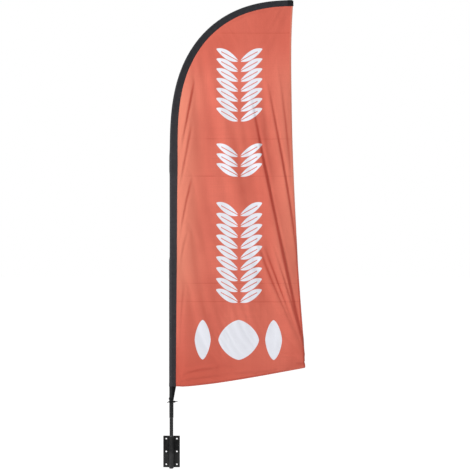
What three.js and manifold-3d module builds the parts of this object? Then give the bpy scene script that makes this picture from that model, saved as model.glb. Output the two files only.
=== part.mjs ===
// Feather flag with pole, on a wall bracket with a turning spindle.
// Millimetres, +Z up. Origin: centre of the wall plate's back face. The wall is towards +Y,
// the flag flies towards +X.
import * as THREE from 'three';
import { mergeVertices } from 'three/addons/utils/BufferGeometryUtils.js';
import Module from 'manifold-3d';

const wasm = await Module();
wasm.setup();

// ---------------------------------------------------------------- clearances
const TOUCH_GAP = 0.3; // left between pieces that touch
const RUN_GAP = 0.25; // radial clearance of a bearing
const SLIP_GAP = 0.3; // radial clearance of a push-together joint

// ---------------------------------------------------------------- wall plate
const PLATE_WIDTH = 100;
const PLATE_HEIGHT = 190;
const PLATE_THICKNESS = 4;
const PLATE_CORNER = 2;
const SCREW_HOLE_DIAMETER = 9.5;
const SCREW_HOLE_COLUMN = 32; // from the middle of the plate to each column of holes
const SCREW_HOLE_EDGE = 18; // from the plate's top or bottom edge to the nearest holes

// ---------------------------------------------------------------- socket and its bearings
const SOCKET_DIAMETER = 27;
const SOCKET_WALL = 1.8;
const WELD_LEG = 5;
const WELD_END = 12; // the weld stops this far short of the tube's ends
const END_PLUG_LIP = 1.6;
const END_PLUG_DEPTH = 10;
const BUSH_LENGTH = 24;
const BUSH_FLANGE = 2;
const WASHER_THICKNESS = 1.2;
const WASHER_DIAMETER = 22;
const CLIP_THICKNESS = 1.2;
const CLIP_BAND = 2.4;
const CLIP_OPENING = 4.5;
const CLIP_GROOVE_DEPTH = 0.8;

// ---------------------------------------------------------------- spindle
const JOURNAL_DIAMETER = 15;
const JOURNAL_FOOT = 9; // journal below the lower bush, with the clip's groove
const JOURNAL_ROOM = 6; // between the journal's end and the end plug
const SPINDLE_DIAMETER = 22;
const SPINDLE_SHOW = 108; // bare spindle between its shoulder and the pole
const SPINDLE_GRIP = 130; // spindle inside the pole
const CHAMFER = 1.5;

// ---------------------------------------------------------------- pole sections
const BASE_WALL = 1.4;
const BASE_LENGTH = 936;
const STOP_LENGTH = 22;
const MID_WALL = 1.4;
const MID_SHOW = 606; // from the first joint to where the rod begins to bend
const JOINT_GRIP = 90; // length of a section inside the one below
const FERRULE_LIP = 5;
const FERRULE_WALL = 0.8; // between the base tube and the section inside it
const COLLAR_WALL = 1.6;
const COLLAR_LENGTH = 60;
const ROD_BUSH_WALL = 1.9; // between the second section and the rod inside it
const ROD_TIP_DIAMETER = 6;
const CAP_LENGTH = 12;
const CAP_WALL = 1.2;

// ---------------------------------------------------------------- bent rod
// The rod's slope grows as it thins and settles at its free end: curvature is in proportion
// to u^BEND_RISE (1-u)^BEND_FALL, where u runs from 0 to 1 along the bend.
const BEND_LENGTH = 1392;
const BEND_ANGLE = 1.546; // radians from upright at the end
const BEND_RISE = 1.236;
const BEND_FALL = 0.665;
const BEND_STEPS = 400;

// ---------------------------------------------------------------- flag
const FLAG_LIFT = 187; // from the pole's foot to the flag's foot
const CLOTH = 0.8;
const HEM_CLOTH = 1.6;
const HEM_WIDTH = 10;
const SLEEVE_CLOTH = 0.6;
const SLEEVE_EASE = 0.4; // between the sleeve and a pole section
const SLEEVE_REACH_FOOT = 24; // from the pole's axis to the seam, at the foot
const SLEEVE_REACH_BEND = 38; // where the bend begins
const SLEEVE_REACH_END = 31; // at the sleeve's end
const SLEEVE_SLACK = 2; // how far the sleeve stands off the rod where the bend begins
const POCKET_LENGTH = 26;
const FOOT_WIDTH = 807; // from the pole's axis to the flag's lower outer corner
const FOOT_RISE = 113; // of that corner above the sleeve's foot
const FOOT_SAG = 8;
const TRAILING_BOW = 40; // the outer edge curves in by this much
const TOP_SQUARE = 18; // the panel ends this far before the sleeve's end
const BILLOW = 13;
const BILLOW_WAVE = 900;

// ---------------------------------------------------------------- tie below the flag
const STRAP_DROP = 66; // from the sleeve's foot to the strap's loop
const STRAP_CLOTH = 1.6;
const STRAP_LOOP_HEIGHT = 14;
const STRAP_FOOT_WIDTH = 3;
const CORD_DIAMETER = 4.6;
const CORD_TURNS = 2;
const CORD_DROP = 14; // from the strap's loop to the cord
const KNOT_WIDTH = 11;
const TAIL_LENGTH = 9;

// ---------------------------------------------------------------- segments
const ROUND = 36;
const FINE_ROUND = 24;
const ROD_SIDES = 10;
const SLEEVE_SIDES = 16;
const SEAM_SIDES = 2; // of those, the ones round the seam
const PANEL_COLUMNS = 12;
const RING_STEP = 58; // between two rings of points along the flag

// ---------------------------------------------------------------- worked out
const AXIS_Y = -(PLATE_THICKNESS + TOUCH_GAP + SOCKET_DIAMETER / 2);
const SOCKET_TOP = PLATE_HEIGHT / 2;
const SOCKET_FOOT = -PLATE_HEIGHT / 2;
const SOCKET_BORE = SOCKET_DIAMETER / 2 - SOCKET_WALL;
const BUSH_TOP = SOCKET_TOP + TOUCH_GAP + BUSH_FLANGE;
const SHOULDER = BUSH_TOP + TOUCH_GAP + WASHER_THICKNESS + TOUCH_GAP;
const BASE_FOOT = SHOULDER + SPINDLE_SHOW;
const SPINDLE_TOP = BASE_FOOT + SPINDLE_GRIP;
const JOURNAL_END = SOCKET_FOOT + END_PLUG_DEPTH + JOURNAL_ROOM;
const CLIP_TOP = JOURNAL_END + JOURNAL_FOOT;
const LOWER_BUSH_FOOT = CLIP_TOP + TOUCH_GAP;
const BASE_BORE = SPINDLE_DIAMETER / 2 + SLIP_GAP;
const BASE_OUTER = BASE_BORE + BASE_WALL;
const BASE_TOP = BASE_FOOT + BASE_LENGTH;
const MID_OUTER = BASE_BORE - TOUCH_GAP - FERRULE_WALL - SLIP_GAP;
const MID_BORE = MID_OUTER - MID_WALL;
const COLLAR_BORE = MID_OUTER + TOUCH_GAP;
const COLLAR_OUTER = COLLAR_BORE + COLLAR_WALL;
const ROD_FOOT = MID_BORE - TOUCH_GAP - ROD_BUSH_WALL - SLIP_GAP; // the rod's radius there
const FERRULE_TOP = BASE_TOP + TOUCH_GAP + FERRULE_LIP;
const BEND_START = BASE_TOP + MID_SHOW;
const FLAG_FOOT = BASE_FOOT + FLAG_LIFT;
const STRAIGHT_LENGTH = BEND_START - FLAG_FOOT;
const SLEEVE_LENGTH = STRAIGHT_LENGTH + BEND_LENGTH;

// ---------------------------------------------------------------- materials
const steel = (color) => new THREE.MeshStandardMaterial({ color, roughness: 0.5, metalness: 0.6 });
const plastic = (color) => new THREE.MeshStandardMaterial({ color, roughness: 0.5, metalness: 0 });
const cloth = (color) => new THREE.MeshStandardMaterial({ color, roughness: 0.9, metalness: 0 });
const BLACK_PAINT = '#1c1c1e';
const BARE_STEEL = '#8c8f92';
const NYLON = '#d8d4c8';
const BLACK_TUBE = '#151618';
const BLACK_CLOTH = '#37373b';
const BLACK_CORD = '#1b1b1d';
const RED_CLOTH = '#d96a57';
const RED_HEM = '#c95a4a';

// ---------------------------------------------------------------- helpers
function bareGeometry(geometry) {
  geometry.deleteAttribute('normal');
  geometry.deleteAttribute('uv');
  return mergeVertices(geometry, 1e-3);
}

function toSolid(geometry) {
  const bare = bareGeometry(geometry);
  return new wasm.Manifold(
    new wasm.Mesh({
      numProp: 3,
      vertProperties: new Float32Array(bare.attributes.position.array),
      triVerts: new Uint32Array(bare.index.array),
    }),
  );
}

function toGeometry(solid) {
  const mesh = solid.getMesh();
  const geometry = new THREE.BufferGeometry();
  geometry.setAttribute('position', new THREE.BufferAttribute(mesh.vertProperties, 3));
  geometry.setIndex(new THREE.BufferAttribute(mesh.triVerts, 1));
  geometry.computeVertexNormals();
  return geometry;
}

function addPiece(group, name, geometry, material) {
  const mesh = new THREE.Mesh(geometry, material);
  mesh.name = name;
  group.add(mesh);
  return mesh;
}

// A turned piece about Z from its half section, given as [radius, height] anticlockwise.
function turned(section, segments = ROUND) {
  const points = section.map(([radius, height]) => new THREE.Vector2(radius, height));
  return new THREE.LatheGeometry(points, segments).rotateX(Math.PI / 2);
}

function tube(bore, outer, foot, top, segments = ROUND) {
  const section = [
    [bore, foot],
    [outer, foot],
    [outer, top],
    [bore, top],
    [bore, foot],
  ];
  return turned(section, segments);
}

// Moves every vertex of a closed geometry to where place(vertex) says.
function warped(geometry, place) {
  const bare = bareGeometry(geometry);
  const position = bare.attributes.position;
  const vertex = new THREE.Vector3();
  for (let i = 0; i < position.count; i += 1) {
    vertex.fromBufferAttribute(position, i);
    const moved = place(vertex);
    position.setXYZ(i, moved.x, moved.y, moved.z);
  }
  bare.computeVertexNormals();
  return bare;
}

const smooth = (from, to, value) => THREE.MathUtils.smoothstep(value, from, to);
const mix = THREE.MathUtils.lerp;

// ---------------------------------------------------------------- the pole's line
// Points along the bend, a step apart, each with its slope from upright.
function bendPoints() {
  const step = BEND_LENGTH / BEND_STEPS;
  const weights = [];
  for (let i = 0; i < BEND_STEPS; i += 1) {
    const u = (i + 0.5) / BEND_STEPS;
    weights.push(u ** BEND_RISE * (1 - u) ** BEND_FALL);
  }
  const total = weights.reduce((sum, weight) => sum + weight, 0);
  const points = [{ x: 0, z: BEND_START, slope: 0 }];
  weights.forEach((weight) => {
    const last = points[points.length - 1];
    const turn = (BEND_ANGLE * weight) / total;
    const heading = last.slope + turn / 2;
    points.push({
      x: last.x + step * Math.sin(heading),
      z: last.z + step * Math.cos(heading),
      slope: last.slope + turn,
    });
  });
  return points;
}

const BEND = bendPoints();

// The pole's centre and slope at a length along the flag's sleeve, from its foot.
function poleLine(along) {
  const bent = along - STRAIGHT_LENGTH;
  if (bent <= 0) return { x: 0, z: FLAG_FOOT + along, slope: 0 };
  const place = Math.min((bent / BEND_LENGTH) * BEND_STEPS, BEND_STEPS - 1e-6);
  const low = BEND[Math.floor(place)];
  const high = BEND[Math.floor(place) + 1];
  const share = place - Math.floor(place);
  return {
    x: mix(low.x, high.x, share),
    z: mix(low.z, high.z, share),
    slope: mix(low.slope, high.slope, share),
  };
}

// A point beside that line: across is towards the flag, and depth is along Y.
function besidePole(along, across, depth) {
  const line = poleLine(along);
  return new THREE.Vector3(
    line.x + across * Math.cos(line.slope),
    depth,
    line.z - across * Math.sin(line.slope),
  );
}

// Lengths along the sleeve from one limit to another. All pieces share the rings between, so
// that they meet edge to edge and lie inside each other round the bend.
function rings(from, to) {
  const found = [from];
  const first = Math.floor(from / RING_STEP) + 1;
  for (let i = first; i * RING_STEP < to; i += 1) found.push(i * RING_STEP);
  found.push(to);
  return found;
}

// ---------------------------------------------------------------- the sleeve's section
function bendShare(along) {
  return Math.max(0, (along - STRAIGHT_LENGTH) / BEND_LENGTH);
}

function rodRadius(along) {
  return mix(ROD_FOOT, ROD_TIP_DIAMETER / 2, bendShare(along));
}

function sleeveRadius(along) {
  const height = FLAG_FOOT + along;
  const collarFoot = BEND_START - COLLAR_LENGTH;
  const slack = SLEEVE_SLACK * (1 - smooth(0, 0.9, bendShare(along)));
  const onRod = rodRadius(along) + CAP_WALL + TOUCH_GAP + slack;
  const blend = 2 * RING_STEP;
  let radius = mix(BASE_OUTER, MID_OUTER, smooth(FERRULE_TOP + RING_STEP, FERRULE_TOP + blend, height));
  radius = mix(radius, COLLAR_OUTER, smooth(collarFoot - blend, collarFoot - RING_STEP, height));
  return mix(radius, onRod, smooth(BEND_START + RING_STEP, BEND_START + blend, height));
}

// From the pole's axis to the seam where the sleeve meets the panel.
function seamReach(along) {
  const straight = Math.min(along / STRAIGHT_LENGTH, 1);
  const foot = mix(SLEEVE_REACH_FOOT, SLEEVE_REACH_BEND, straight);
  return mix(foot, SLEEVE_REACH_END, bendShare(along));
}

// The sleeve is drawn round the pole and flat beside it: a big arc round the pole and a small
// one at the seam, both grown by the cloth for its outside.
function sleevePoint(side, grown, along) {
  const seamRadius = SLEEVE_EASE + grown;
  const poleRadius = sleeveRadius(along) + SLEEVE_EASE + grown;
  const seamAt = seamReach(along) - SLEEVE_EASE - SLEEVE_CLOTH;
  const tangent = Math.acos((poleRadius - seamRadius) / seamAt);
  const turn = (side + SEAM_SIDES / 2) % SLEEVE_SIDES;
  if (turn <= SEAM_SIDES) {
    const angle = mix(-tangent, tangent, turn / SEAM_SIDES);
    return besidePole(along, seamAt + seamRadius * Math.cos(angle), seamRadius * Math.sin(angle));
  }
  const share = (turn - SEAM_SIDES - 1) / (SLEEVE_SIDES - SEAM_SIDES - 2);
  const angle = mix(tangent, 2 * Math.PI - tangent, share);
  return besidePole(along, poleRadius * Math.cos(angle), poleRadius * Math.sin(angle));
}

// A hollow tube of cloth over the pole, between two lengths along the sleeve. It starts as a
// turned tube whose radius is 1 inside and 2 outside, and whose height counts the rings.
function sleeveTube(from, to) {
  const lengths = rings(from, to);
  const last = lengths.length - 1;
  const section = [];
  for (let i = 0; i <= last; i += 1) section.push([2, i]);
  for (let i = last; i >= 0; i -= 1) section.push([1, i]);
  section.push([2, 0]);
  return warped(turned(section, SLEEVE_SIDES), (v) => {
    const side = Math.round((Math.atan2(v.y, v.x) / (2 * Math.PI)) * SLEEVE_SIDES);
    const grown = Math.hypot(v.x, v.y) > 1.5 ? SLEEVE_CLOTH : 0;
    return sleevePoint((side + SLEEVE_SIDES) % SLEEVE_SIDES, grown, lengths[Math.round(v.z)]);
  });
}

// ---------------------------------------------------------------- the panel's surface
function seamPoint(along) {
  return besidePole(along, seamReach(along) + TOUCH_GAP, 0);
}

const PANEL_LENGTH = SLEEVE_LENGTH - TOP_SQUARE;

function trailingPoint(share) {
  const top = besidePole(SLEEVE_LENGTH, seamReach(SLEEVE_LENGTH) + TOP_SQUARE / 2, 0);
  const bow = TRAILING_BOW * Math.sin(Math.PI * share);
  return new THREE.Vector3(
    mix(FOOT_WIDTH, top.x, share) - bow,
    0,
    mix(FLAG_FOOT + FOOT_RISE, top.z, share),
  );
}

function billow(x, z) {
  const reach = THREE.MathUtils.clamp((x - SLEEVE_REACH_BEND) / (FOOT_WIDTH / 2), 0, 1);
  return BILLOW * reach * Math.sin((2 * Math.PI * (z - FLAG_FOOT - x / 2)) / BILLOW_WAVE);
}

// A point of the cloth: share runs up the flag, across runs from the seam to the outer edge.
function clothPoint(share, across, depth) {
  const seam = seamPoint(share * PANEL_LENGTH);
  const edge = trailingPoint(share);
  const point = seam.lerp(edge, across);
  point.z -= FOOT_SAG * Math.sin(Math.PI * across) * (1 - share) ** 8;
  point.y = billow(point.x, point.z) + depth;
  return point;
}

// The flag's width along the row at this share of its height.
function rowWidth(share) {
  return seamPoint(share * PANEL_LENGTH).distanceTo(trailingPoint(share));
}

// A sheet of cloth from a box whose Z counts the rings and whose X runs across the flag.
function clothSheet(columns, thickness, foot, top, across) {
  const lengths = rings(foot, top);
  const rows = lengths.length - 1;
  const box = new THREE.BoxGeometry(1, 1, rows, columns, 1, rows).translate(0.5, 0, rows / 2);
  return warped(box, (v) => {
    const share = lengths[Math.round(v.z)] / PANEL_LENGTH;
    const [inner, outer] = across(share);
    return clothPoint(share, mix(inner, outer, v.x), v.y * thickness);
  });
}

// ---------------------------------------------------------------- bracket
function wallPlate() {
  const shape = new THREE.Shape();
  const halfWidth = PLATE_WIDTH / 2 - PLATE_CORNER;
  const halfHeight = PLATE_HEIGHT / 2 - PLATE_CORNER;
  shape.absarc(halfWidth, halfHeight, PLATE_CORNER, 0, Math.PI / 2);
  shape.absarc(-halfWidth, halfHeight, PLATE_CORNER, Math.PI / 2, Math.PI);
  shape.absarc(-halfWidth, -halfHeight, PLATE_CORNER, Math.PI, 1.5 * Math.PI);
  shape.absarc(halfWidth, -halfHeight, PLATE_CORNER, 1.5 * Math.PI, 2 * Math.PI);
  const topRow = PLATE_HEIGHT / 2 - SCREW_HOLE_EDGE;
  for (const z of [-topRow, 0, topRow]) {
    for (const x of [-SCREW_HOLE_COLUMN, SCREW_HOLE_COLUMN]) {
      const hole = new THREE.Path();
      hole.absarc(x, z, SCREW_HOLE_DIAMETER / 2, 0, 2 * Math.PI, true);
      shape.holes.push(hole);
    }
  }
  const geometry = new THREE.ExtrudeGeometry(shape, {
    depth: PLATE_THICKNESS,
    bevelEnabled: false,
    curveSegments: FINE_ROUND / 2,
  });
  return geometry.rotateX(Math.PI / 2);
}

// A fillet of weld metal in the corner between the tube and the plate.
function weldBead() {
  const plateFace = -PLATE_THICKNESS - TOUCH_GAP;
  const around = SOCKET_DIAMETER / 2 + TOUCH_GAP;
  const shape = new THREE.Shape();
  const footAngle = Math.asin((plateFace - AXIS_Y) / around);
  const topAngle = Math.asin((plateFace - WELD_LEG - AXIS_Y) / around);
  const arcSteps = 6;
  for (let i = 0; i <= arcSteps; i += 1) {
    const angle = mix(topAngle, footAngle, i / arcSteps);
    const x = around * Math.cos(angle);
    const y = AXIS_Y + around * Math.sin(angle);
    if (i === 0) shape.moveTo(x, y);
    else shape.lineTo(x, y);
  }
  shape.lineTo(around * Math.cos(topAngle) + WELD_LEG, plateFace);
  shape.closePath();
  const length = PLATE_HEIGHT - 2 * WELD_END;
  const geometry = new THREE.ExtrudeGeometry(shape, { depth: length, bevelEnabled: false });
  return geometry.translate(0, 0, -length / 2);
}

function buildBracket(root) {
  const bracket = new THREE.Group();
  root.add(bracket);
  addPiece(bracket, 'wall_plate', wallPlate(), steel(BLACK_PAINT));
  addPiece(bracket, 'weld_bead_right', weldBead(), steel(BLACK_PAINT));
  const left = addPiece(bracket, 'weld_bead_left', weldBead(), steel(BLACK_PAINT));
  left.scale.x = -1;

  const turnedPieces = new THREE.Group();
  turnedPieces.position.y = AXIS_Y;
  bracket.add(turnedPieces);
  const socket = tube(SOCKET_BORE, SOCKET_DIAMETER / 2, SOCKET_FOOT, SOCKET_TOP);
  addPiece(turnedPieces, 'socket_tube', socket, steel(BLACK_PAINT));

  const plugTop = SOCKET_FOOT + END_PLUG_DEPTH;
  const lipTop = SOCKET_FOOT - TOUCH_GAP;
  const plugRadius = SOCKET_BORE - TOUCH_GAP;
  const plug = turned([
    [0, lipTop - END_PLUG_LIP],
    [SOCKET_DIAMETER / 2 - END_PLUG_LIP / 2, lipTop - END_PLUG_LIP],
    [SOCKET_DIAMETER / 2, lipTop - END_PLUG_LIP / 2],
    [SOCKET_DIAMETER / 2, lipTop],
    [plugRadius, lipTop],
    [plugRadius, plugTop - CHAMFER],
    [plugRadius - CHAMFER, plugTop],
    [0, plugTop],
  ]);
  addPiece(turnedPieces, 'socket_end_plug', plug, plastic(BLACK_PAINT));

  const bushBore = JOURNAL_DIAMETER / 2 + RUN_GAP;
  const bushOuter = SOCKET_BORE - TOUCH_GAP;
  const flangeFoot = SOCKET_TOP + TOUCH_GAP;
  const upper = turned([
    [bushBore, SOCKET_TOP - BUSH_LENGTH],
    [bushOuter, SOCKET_TOP - BUSH_LENGTH],
    [bushOuter, flangeFoot],
    [SOCKET_DIAMETER / 2 - TOUCH_GAP, flangeFoot],
    [SOCKET_DIAMETER / 2 - TOUCH_GAP, BUSH_TOP],
    [bushBore, BUSH_TOP],
    [bushBore, SOCKET_TOP - BUSH_LENGTH],
  ]);
  addPiece(turnedPieces, 'upper_bush', upper, plastic(NYLON));
  const lower = tube(bushBore, bushOuter, LOWER_BUSH_FOOT, LOWER_BUSH_FOOT + BUSH_LENGTH);
  addPiece(turnedPieces, 'lower_bush', lower, plastic(NYLON));
}

// ---------------------------------------------------------------- spindle
function buildSpindle(root) {
  const group = new THREE.Group();
  group.position.y = AXIS_Y;
  root.add(group);
  const journal = JOURNAL_DIAMETER / 2;
  const groove = journal - CLIP_GROOVE_DEPTH;
  const grooveTop = CLIP_TOP + TOUCH_GAP / 2;
  const grooveFoot = CLIP_TOP - CLIP_THICKNESS - TOUCH_GAP;
  const spindle = turned([
    [0, JOURNAL_END],
    [journal - CHAMFER, JOURNAL_END],
    [journal, JOURNAL_END + CHAMFER],
    [journal, grooveFoot],
    [groove, grooveFoot],
    [groove, grooveTop],
    [journal, grooveTop],
    [journal, SHOULDER],
    [SPINDLE_DIAMETER / 2, SHOULDER],
    [SPINDLE_DIAMETER / 2, SPINDLE_TOP - CHAMFER],
    [SPINDLE_DIAMETER / 2 - CHAMFER, SPINDLE_TOP],
    [0, SPINDLE_TOP],
  ]);
  addPiece(group, 'spindle', spindle, steel(BLACK_TUBE));

  const washerFoot = BUSH_TOP + TOUCH_GAP;
  const washer = tube(
    journal + RUN_GAP,
    WASHER_DIAMETER / 2,
    washerFoot,
    washerFoot + WASHER_THICKNESS,
  );
  addPiece(group, 'thrust_washer', washer, steel(BARE_STEEL));

  const clipInner = groove + TOUCH_GAP;
  const ring = toSolid(tube(clipInner, clipInner + CLIP_BAND, CLIP_TOP - CLIP_THICKNESS, CLIP_TOP));
  const mouth = new THREE.BoxGeometry(JOURNAL_DIAMETER, CLIP_OPENING, JOURNAL_DIAMETER);
  mouth.translate(-JOURNAL_DIAMETER / 2, 0, CLIP_TOP);
  addPiece(group, 'retaining_clip', toGeometry(ring.subtract(toSolid(mouth))), steel(BARE_STEEL));
}

// ---------------------------------------------------------------- pole sections
function buildPole(pole) {
  addPiece(pole, 'base_tube', tube(BASE_BORE, BASE_OUTER, BASE_FOOT, BASE_TOP), steel(BLACK_TUBE));

  const stopRadius = BASE_BORE - TOUCH_GAP;
  const stopFoot = SPINDLE_TOP + TOUCH_GAP;
  const stop = turned([
    [0, stopFoot],
    [stopRadius, stopFoot],
    [stopRadius, stopFoot + STOP_LENGTH],
    [0, stopFoot + STOP_LENGTH],
  ]);
  addPiece(pole, 'spindle_stop', stop, plastic(NYLON));

  const ferruleBore = MID_OUTER + SLIP_GAP;
  const ferruleFoot = BASE_TOP - JOINT_GRIP;
  const ferrule = turned([
    [ferruleBore, ferruleFoot],
    [BASE_BORE - TOUCH_GAP, ferruleFoot],
    [BASE_BORE - TOUCH_GAP, BASE_TOP + TOUCH_GAP],
    [BASE_OUTER, BASE_TOP + TOUCH_GAP],
    [BASE_OUTER, FERRULE_TOP - CHAMFER],
    [BASE_OUTER - CHAMFER, FERRULE_TOP],
    [ferruleBore, FERRULE_TOP],
    [ferruleBore, ferruleFoot],
  ]);
  addPiece(pole, 'lower_ferrule', ferrule, steel(BARE_STEEL));

  const midTop = BEND_START - TOUCH_GAP;
  const mid = tube(MID_BORE, MID_OUTER, ferruleFoot + TOUCH_GAP, midTop);
  addPiece(pole, 'mid_tube', mid, steel(BLACK_TUBE));

  const collar = tube(COLLAR_BORE, COLLAR_OUTER, BEND_START - COLLAR_LENGTH, BEND_START);
  addPiece(pole, 'joint_collar', collar, steel(BARE_STEEL));

  const bush = turned([
    [ROD_FOOT + SLIP_GAP, BEND_START - JOINT_GRIP],
    [MID_BORE - TOUCH_GAP, BEND_START - JOINT_GRIP],
    [MID_BORE - TOUCH_GAP, BEND_START],
    [MID_OUTER, BEND_START],
    [MID_OUTER, BEND_START + FERRULE_LIP - CHAMFER],
    [MID_OUTER - CHAMFER, BEND_START + FERRULE_LIP],
    [ROD_FOOT + SLIP_GAP, BEND_START + FERRULE_LIP],
    [ROD_FOOT + SLIP_GAP, BEND_START - JOINT_GRIP],
  ]);
  addPiece(pole, 'rod_bush', bush, plastic(BLACK_TUBE));
}

function buildRod(pole) {
  const capTop = SLEEVE_LENGTH - POCKET_LENGTH / 2;
  const lengths = rings(STRAIGHT_LENGTH - JOINT_GRIP, capTop - CAP_WALL - TOUCH_GAP);
  const last = lengths.length - 1;
  const rod = new THREE.CylinderGeometry(1, 1, last, ROD_SIDES, last);
  rod.rotateX(Math.PI / 2).translate(0, 0, last / 2);
  const bent = warped(rod, (v) => {
    const along = lengths[Math.round(v.z)];
    return besidePole(along, rodRadius(along) * v.x, rodRadius(along) * v.y);
  });
  addPiece(pole, 'tip_rod', bent, plastic(BLACK_TUBE));

  const bore = rodRadius(capTop - CAP_LENGTH) + TOUCH_GAP;
  const outer = bore + CAP_WALL;
  const cap = turned([
    [bore, 0],
    [outer, 0],
    [outer, CAP_LENGTH - outer / 2],
    [outer / 2, CAP_LENGTH],
    [0, CAP_LENGTH],
    [0, CAP_LENGTH - CAP_WALL],
    [bore, CAP_LENGTH - CAP_WALL],
    [bore, 0],
  ], FINE_ROUND);
  const placed = warped(cap, (v) => besidePole(capTop - CAP_LENGTH + v.z, v.x, v.y));
  addPiece(pole, 'tip_cap', placed, plastic(BLACK_PAINT));
}

// ---------------------------------------------------------------- flag
function buildFlag(pole) {
  const pocketFoot = SLEEVE_LENGTH - POCKET_LENGTH;
  addPiece(pole, 'pole_sleeve', sleeveTube(0, pocketFoot), cloth(BLACK_CLOTH));
  const pocket = sleeveTube(pocketFoot + TOUCH_GAP, SLEEVE_LENGTH);
  addPiece(pole, 'tip_pocket', pocket, cloth(BLACK_CLOTH));

  const hemInner = (share) => 1 - HEM_WIDTH / rowWidth(share);
  const panelOuter = (share) => 1 - (HEM_WIDTH + TOUCH_GAP) / rowWidth(share);
  const panelFoot = HEM_WIDTH + TOUCH_GAP;
  const panel = clothSheet(PANEL_COLUMNS, CLOTH, panelFoot, PANEL_LENGTH, (share) => [
    0,
    panelOuter(share),
  ]);
  addPiece(pole, 'flag_panel', panel, cloth(RED_CLOTH));
  const trailing = clothSheet(1, HEM_CLOTH, panelFoot, PANEL_LENGTH, (share) => [
    hemInner(share),
    1,
  ]);
  addPiece(pole, 'trailing_hem', trailing, cloth(RED_HEM));
  const foot = clothSheet(PANEL_COLUMNS, HEM_CLOTH, 0, HEM_WIDTH, () => [0, 1]);
  addPiece(pole, 'bottom_hem', foot, cloth(RED_HEM));
}

// ---------------------------------------------------------------- tie below the flag
function buildTie(pole) {
  const poleSide = BASE_OUTER + TOUCH_GAP;
  const strapTop = FLAG_FOOT - TOUCH_GAP;
  const loopTop = FLAG_FOOT - STRAP_DROP;
  const strap = new THREE.BoxGeometry(1, STRAP_CLOTH, 1, 1, 1, 4);
  const shaped = warped(strap, (v) => {
    const up = v.z + 0.5;
    const width = mix(STRAP_FOOT_WIDTH, SLEEVE_REACH_FOOT - poleSide, up);
    return new THREE.Vector3(poleSide + width * (v.x + 0.5), v.y, mix(loopTop, strapTop, up));
  });
  addPiece(pole, 'tail_strap', shaped, cloth(BLACK_CLOTH));

  const loopFoot = loopTop - TOUCH_GAP - STRAP_LOOP_HEIGHT;
  const loop = tube(poleSide, poleSide + STRAP_CLOTH, loopFoot, loopTop - TOUCH_GAP, FINE_ROUND);
  addPiece(pole, 'strap_loop', loop, cloth(BLACK_CLOTH));

  const cordTop = loopFoot - CORD_DROP + STRAP_LOOP_HEIGHT / 2;
  const cordSection = [[poleSide, cordTop - CORD_TURNS * CORD_DIAMETER]];
  const bulgeSteps = 4;
  for (let turn = 0; turn < CORD_TURNS; turn += 1) {
    const middle = cordTop - (CORD_TURNS - turn - 0.5) * CORD_DIAMETER;
    for (let i = 0; i <= bulgeSteps; i += 1) {
      const angle = mix(-0.4, 0.4, i / bulgeSteps) * Math.PI;
      const radius = poleSide + (CORD_DIAMETER / 2) * (1 + Math.cos(angle));
      cordSection.push([radius, middle + (CORD_DIAMETER / 2) * Math.sin(angle)]);
    }
  }
  cordSection.push([poleSide, cordTop]);
  cordSection.push(cordSection[0]);
  addPiece(pole, 'tie_cord', turned(cordSection, FINE_ROUND), cloth(BLACK_CORD));

  const cordMiddle = cordTop - (CORD_TURNS * CORD_DIAMETER) / 2;
  const knotAt = poleSide + CORD_DIAMETER + TOUCH_GAP + KNOT_WIDTH / 2;
  const knot = new THREE.SphereGeometry(KNOT_WIDTH / 2, FINE_ROUND / 2, 8);
  knot.translate(knotAt, 0, cordMiddle);
  addPiece(pole, 'tie_knot', knot, cloth(BLACK_CORD));
  const tail = new THREE.CylinderGeometry(CORD_DIAMETER / 2, CORD_DIAMETER / 2, TAIL_LENGTH, FINE_ROUND / 2);
  tail.rotateZ(Math.PI / 2);
  tail.translate(knotAt + KNOT_WIDTH / 2 + TOUCH_GAP + TAIL_LENGTH / 2, 0, cordMiddle);
  addPiece(pole, 'tie_tail', tail, cloth(BLACK_CORD));
}

// ---------------------------------------------------------------- assembly
const flagAndPole = new THREE.Group();
buildBracket(flagAndPole);
buildSpindle(flagAndPole);
const pole = new THREE.Group();
pole.position.y = AXIS_Y;
flagAndPole.add(pole);
buildPole(pole);
buildRod(pole);
buildFlag(pole);
buildTie(pole);

export default flagAndPole;
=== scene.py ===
# %% [markdown]
# # A feather flag on its turning bracket
# The hard parts of this flag come in as a fixed frame: a wall bracket, a spindle and a pole in
# three sections. This lesson dresses that frame. It cuts and hangs the knitted panel, sews the
# black sleeve and the hems, ties the cord, and gives every piece a finish with real detail.
# All lengths are metres. The wall is towards +Y, and the flag flies towards +X.

# %% Load the frame
import math

import bpy
import numpy as np
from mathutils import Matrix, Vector
from mathutils.geometry import delaunay_2d_cdt
from mathutils.kdtree import KDTree


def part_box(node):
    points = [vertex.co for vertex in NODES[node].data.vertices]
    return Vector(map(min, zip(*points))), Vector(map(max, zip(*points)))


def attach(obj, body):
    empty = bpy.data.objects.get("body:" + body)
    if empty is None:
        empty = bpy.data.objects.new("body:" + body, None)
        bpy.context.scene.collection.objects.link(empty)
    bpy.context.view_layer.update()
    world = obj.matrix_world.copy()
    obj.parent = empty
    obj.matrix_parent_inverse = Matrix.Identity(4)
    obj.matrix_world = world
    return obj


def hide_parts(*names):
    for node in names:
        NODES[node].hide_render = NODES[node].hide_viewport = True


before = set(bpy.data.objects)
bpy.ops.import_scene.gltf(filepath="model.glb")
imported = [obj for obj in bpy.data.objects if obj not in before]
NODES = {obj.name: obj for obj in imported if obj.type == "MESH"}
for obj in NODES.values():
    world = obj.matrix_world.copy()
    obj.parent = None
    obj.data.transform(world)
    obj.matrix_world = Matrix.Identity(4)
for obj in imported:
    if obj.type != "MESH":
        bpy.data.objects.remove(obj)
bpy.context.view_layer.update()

MM = 0.001


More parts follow.
